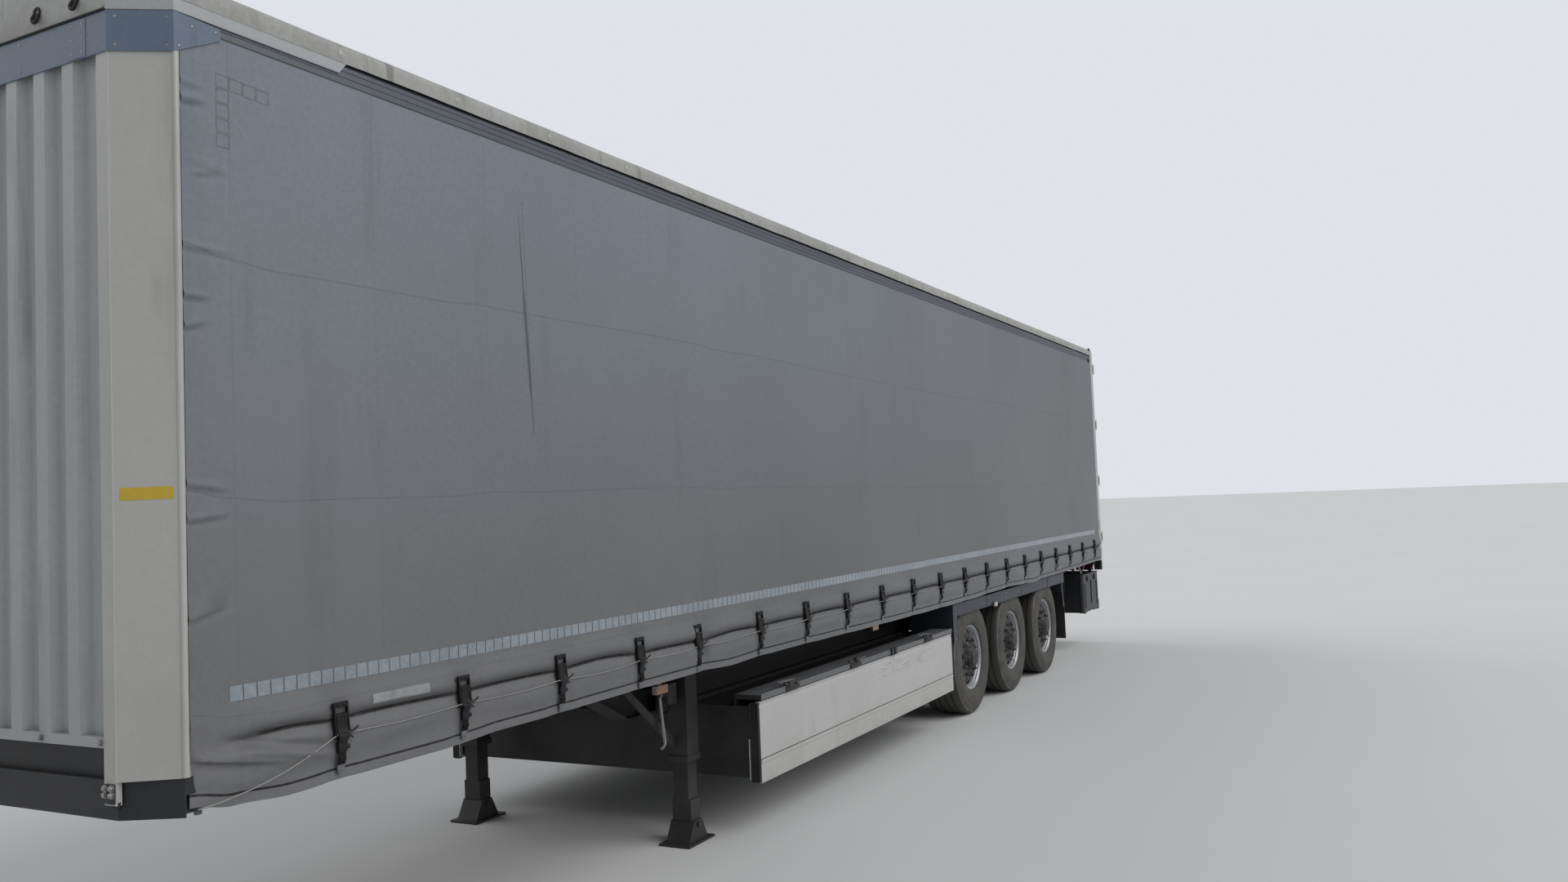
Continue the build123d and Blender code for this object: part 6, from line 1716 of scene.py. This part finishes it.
class TRAILER_OT_tool_box(bpy.types.Operator):
    """Trim the tool box with its latches, ribs and stay"""

    bl_idname = "trailer.tool_box"
    bl_label = "Tool box trims"

    def execute(self, context):
        x0, x1, face = lid_low.x, lid_high.x, lid_high.y
        low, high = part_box("tool_box")[0].z, lid_high.z
        middle = (x0 + x1) / 2
        parts = []
        for x in (middle - 0.2, middle + 0.2):
            latch = turned("latch", [(0.0, 0.0), (0.0, 0.04), (0.006, 0.042), (0.01, 0.036), (0.006, 0.03),
                (0.006, 0.012), (0.012, 0.01), (0.012, 0.0)], 28, closed=False)
            latch.data.transform(at(x, face - 0.002, high - 0.06))
            grip = slab("grip", (x - 0.006, face + 0.002, high - 0.085),
                (x + 0.006, face + 0.013, high - 0.035))
            parts += [latch, ease(grip, 0.002)]
        knobs = smooth(weld("tool_latches", parts))
        done(knobs, "Black rubber", "tool_box_lid")

        ribs = []
        for x in (x0 + 0.07, x0 + 0.12, x1 - 0.13, x1 - 0.08):
            ribs.append(slab("rib", (x, face - 0.001, low + 0.07), (x + 0.012, face + 0.004, high - 0.12),
                0.002))
        ribs.append(slab("lip", (x0 + 0.02, face - 0.03, high - 0.012),
            (x1 - 0.02, face + 0.003, high + 0.003), 0.003))
        done(weld("tool_lid_ribs", ribs), "Black plastic", "tool_box_lid")

        stay = pin("tool_stay", (x1 + 0.02, 1.19, 0.98), (x1 + 0.2, 1.2, 1.1), 0.012, 12)
        ear = slab("ear", (x1 + 0.17, 1.18, 1.08), (x1 + 0.23, 1.22, 1.13))
        done(smooth(weld("tool_box_stay", [stay, ease(ear, 0.003)])), "Aluminium")
        return {"FINISHED"}


class TRAILER_OT_rear(bpy.types.Operator):
    """Finish the rear doors with seals, ribs, rod bushes, lamps and marker tape"""

    bl_idname = "trailer.rear"
    bl_label = "Rear end"

    def execute(self, context):
        face = -6.874
        low, high = door_low.z, door_high.z
        y0, y1 = 0.008, 1.226
        seals = []
        for a, b in (((face - 0.004, y0, low), (face + 0.001, y0 + 0.018, high)),
                ((face - 0.004, y1 - 0.018, low), (face + 0.001, y1, high)),
                ((face - 0.004, y0, low), (face + 0.001, y1, low + 0.02)),
                ((face - 0.004, y0, high - 0.02), (face + 0.001, y1, high))):
            seals.append(slab("seal", a, b, 0.0015, 1))
        seal = weld("door_seal", seals)
        panels = []
        for i in range(6):
            z = low + 0.17 + 0.43 * i
            panels.append(slab("press", (face - 0.003, y0 + 0.1, z), (face + 0.001, y1 - 0.1, z + 0.02),
                0.0012, 1))
        press = weld("door_press", panels)
        tape = []
        for i in range(20):
            y = y0 + 0.05 + 0.0555 * i
            tape.append(slab("tape", (face - 0.0012, y, low + 0.07), (face + 0.001, y + 0.05, low + 0.12)))
        tapes = weld("door_tape", tape)
        bushes, plates = [], []
        for y in (0.33, 0.93):
            for z in (1.3, 2.05, 2.8, 3.55):
                bush = turned("bush", [(0.0, 0.014), (0.0, 0.019), (0.03, 0.019), (0.03, 0.014)], 20)
                bush.data.transform(at(-6.89, y, z) @ spun(90, "X"))
                bushes.append(bush)
            start, level = (y + 0.05, 1.55) if y < 0.5 else (y - 0.34, 1.42)
            plates.append(slab("plate", (face - 0.006, start, level),
                (face + 0.001, start + 0.29, level + 0.14), 0.002))
        bushes = smooth(weld("rod_bushes", bushes))
        plates = weld("handle_plates", plates)
        for word, side in sides:
            place = mirrored(side)
            done(twin(seal, f"door_seal_{word}", place), "Black rubber", f"door_{word}")
            done(twin(press, f"door_press_{word}", place), "Door paint", f"door_{word}")
            done(twin(tapes, f"door_tape_{word}", place), "Reflective tape", f"door_{word}")
            done(twin(bushes, f"rod_bushes_{word}", place), "Zinc steel", f"door_{word}")
            done(twin(plates, f"handle_plates_{word}", place), "Zinc steel", f"door_{word}")
        for model in (seal, press, tapes, bushes, plates):
            scrap(model)

        lens_parts = {"Red lens": [], "Amber lens": [], "Clear lens": []}
        spans = ((0.0, 0.14, "Amber lens"), (0.145, 0.28, "Red lens"), (0.285, 0.345, "Clear lens"),
            (0.35, 0.415, "Red lens"))
        for start, end, word in spans:
            lens = slab("lens", (lamp_low.x - 0.008, lamp_high.y - end, lamp_low.z + 0.012),
                (lamp_low.x + 0.004, lamp_high.y - start - 0.006, lamp_high.z - 0.012))
            lens_parts[word].append(ease(lens, 0.005, 3))
        for word, parts in lens_parts.items():
            name = "rear_lenses_" + word.split()[0].lower()
            pair(smooth(weld("lens", parts)), name, word)
        housing = slab("housing", (lamp_low.x - 0.002, lamp_high.y - 0.43, lamp_low.z - 0.004),
            (lamp_low.x + 0.03, lamp_high.y + 0.006, lamp_high.z - 0.001), 0.006)
        pair(housing, "lamp_housings", "Black plastic")

        carrier = slab("carrier", (-6.854, -0.27, 0.985), (-6.846, 0.27, 1.085))
        inset(carrier, lambda at, way: way.x < -0.9, 0.008, -0.003)
        ease(carrier, 0.002)
        done(carrier, "White plate")

        post_plate = slab("post_plate", (-6.8, 1.2695, 1.5), (-6.74, 1.2715, 1.62), 0.0006, 1)
        pair(post_plate, "rear_post_plates", "White plate")
        return {"FINISHED"}


class TRAILER_OT_chassis(bpy.types.Operator):
    """Add the bolts, gearboxes, cross shaft, crank and collars of the landing legs"""

    bl_idname = "trailer.chassis"
    bl_label = "Chassis details"

    def execute(self, context):
        bolt = turned("bolt", [(0.0, 0.0), (0.0, 0.014), (0.003, 0.0145), (0.003, 0.0105), (0.012, 0.0105),
            (0.014, 0.008), (0.014, 0.0)], 6, closed=False)
        spots = []
        for x in (leg_low.x + 0.03, leg_high.x - 0.03):
            for z in (0.85, 0.93, 1.01, 1.07):
                spots.append(at(x, 0.766, z))
        pair(smooth(repeat(bolt, "bolts", spots), 25.0), "leg_plate_bolts", "Zinc steel")

        front = leg_high.x
        gear = slab("gear", (front - 0.004, 0.79, 0.86), (front + 0.075, 0.87, 0.99))
        inset(gear, lambda at, way: way.x > 0.9, 0.012, 0.01)
        ease(gear, 0.006, 3)
        boss = turned("boss", [(0.0, 0.0), (0.0, 0.026), (0.012, 0.024), (0.014, 0.016), (0.03, 0.015),
            (0.03, 0.0)], 20, closed=False)
        boss.data.transform(at(front + 0.075, 0.83, 0.925) @ spun(-90, "Z"))
        pair(smooth(weld("gear", [gear, boss])), "leg_gearboxes", "Leg paint")
        shaft = pin("shaft", (front + 0.035, -0.8, 0.93), (front + 0.035, 0.8, 0.93), 0.013, 14)
        collars = [pin("collar", (front + 0.035, y, 0.93), (front + 0.035, y + 0.03, 0.93), 0.02, 14)
            for y in (-0.79, -0.2, 0.17, 0.76)]
        done(smooth(weld("leg_cross_shaft", [shaft, *collars])), "Leg paint")
        crank = bent("crank", [(front + 0.1, 0.83, 0.925), (front + 0.125, 0.83, 0.925),
            (front + 0.135, 0.835, 0.9), (front + 0.125, 0.85, 0.7), (front + 0.12, 0.853, 0.66),
            (front + 0.13, 0.857, 0.63), (front + 0.17, 0.862, 0.622)], 0.0105, sides=4)
        done(smooth(crank), "Zinc steel")

        collar = slab("collar", (3.012, 0.757, 0.49), (3.158, 0.903, 0.53), 0.005)
        pair(collar, "leg_collars", "Leg paint")
        return {"FINISHED"}


class TRAILER_PT_pieces(bpy.types.Panel):
    """Shows a button for each set of pieces, and the sizes and colours, in the sidebar"""

    bl_label = "Trailer"
    bl_idname = "TRAILER_PT_pieces"
    bl_space_type = "VIEW_3D"
    bl_region_type = "UI"
    bl_category = "Trailer"

    def draw(self, context):
        layout = self.layout
        layout.label(text="Pieces")
        for operator in operators:
            layout.operator(operator.bl_idname)
        for title, group in (("Sizes", context.scene.trailer_sizes),
                ("Colours", context.scene.trailer_colours)):
            layout.label(text=title)
            for word in group.__annotations__:
                layout.prop(group, word)


operators = (TRAILER_OT_stage, TRAILER_OT_finishes, TRAILER_OT_curtains, TRAILER_OT_tape, TRAILER_OT_buckles,
    TRAILER_OT_roof, TRAILER_OT_front, TRAILER_OT_tyres, TRAILER_OT_rims, TRAILER_OT_side_box,
    TRAILER_OT_guards, TRAILER_OT_tool_box, TRAILER_OT_rear, TRAILER_OT_chassis)
classes = (TrailerSizes, TrailerColours, *operators, TRAILER_PT_pieces)


def register():
    for kind in classes:
        bpy.utils.register_class(kind)
    bpy.types.Scene.trailer_sizes = bpy.props.PointerProperty(type=TrailerSizes)
    bpy.types.Scene.trailer_colours = bpy.props.PointerProperty(type=TrailerColours)


def unregister():
    del bpy.types.Scene.trailer_colours
    del bpy.types.Scene.trailer_sizes
    for kind in reversed(classes):
        bpy.utils.unregister_class(kind)


def main():
    """Build the whole trailer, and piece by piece."""
    register()
    for operator in operators:
        group, word = operator.bl_idname.split(".")
        getattr(getattr(bpy.ops, group), word)()


if __name__ == "__main__":
    main()
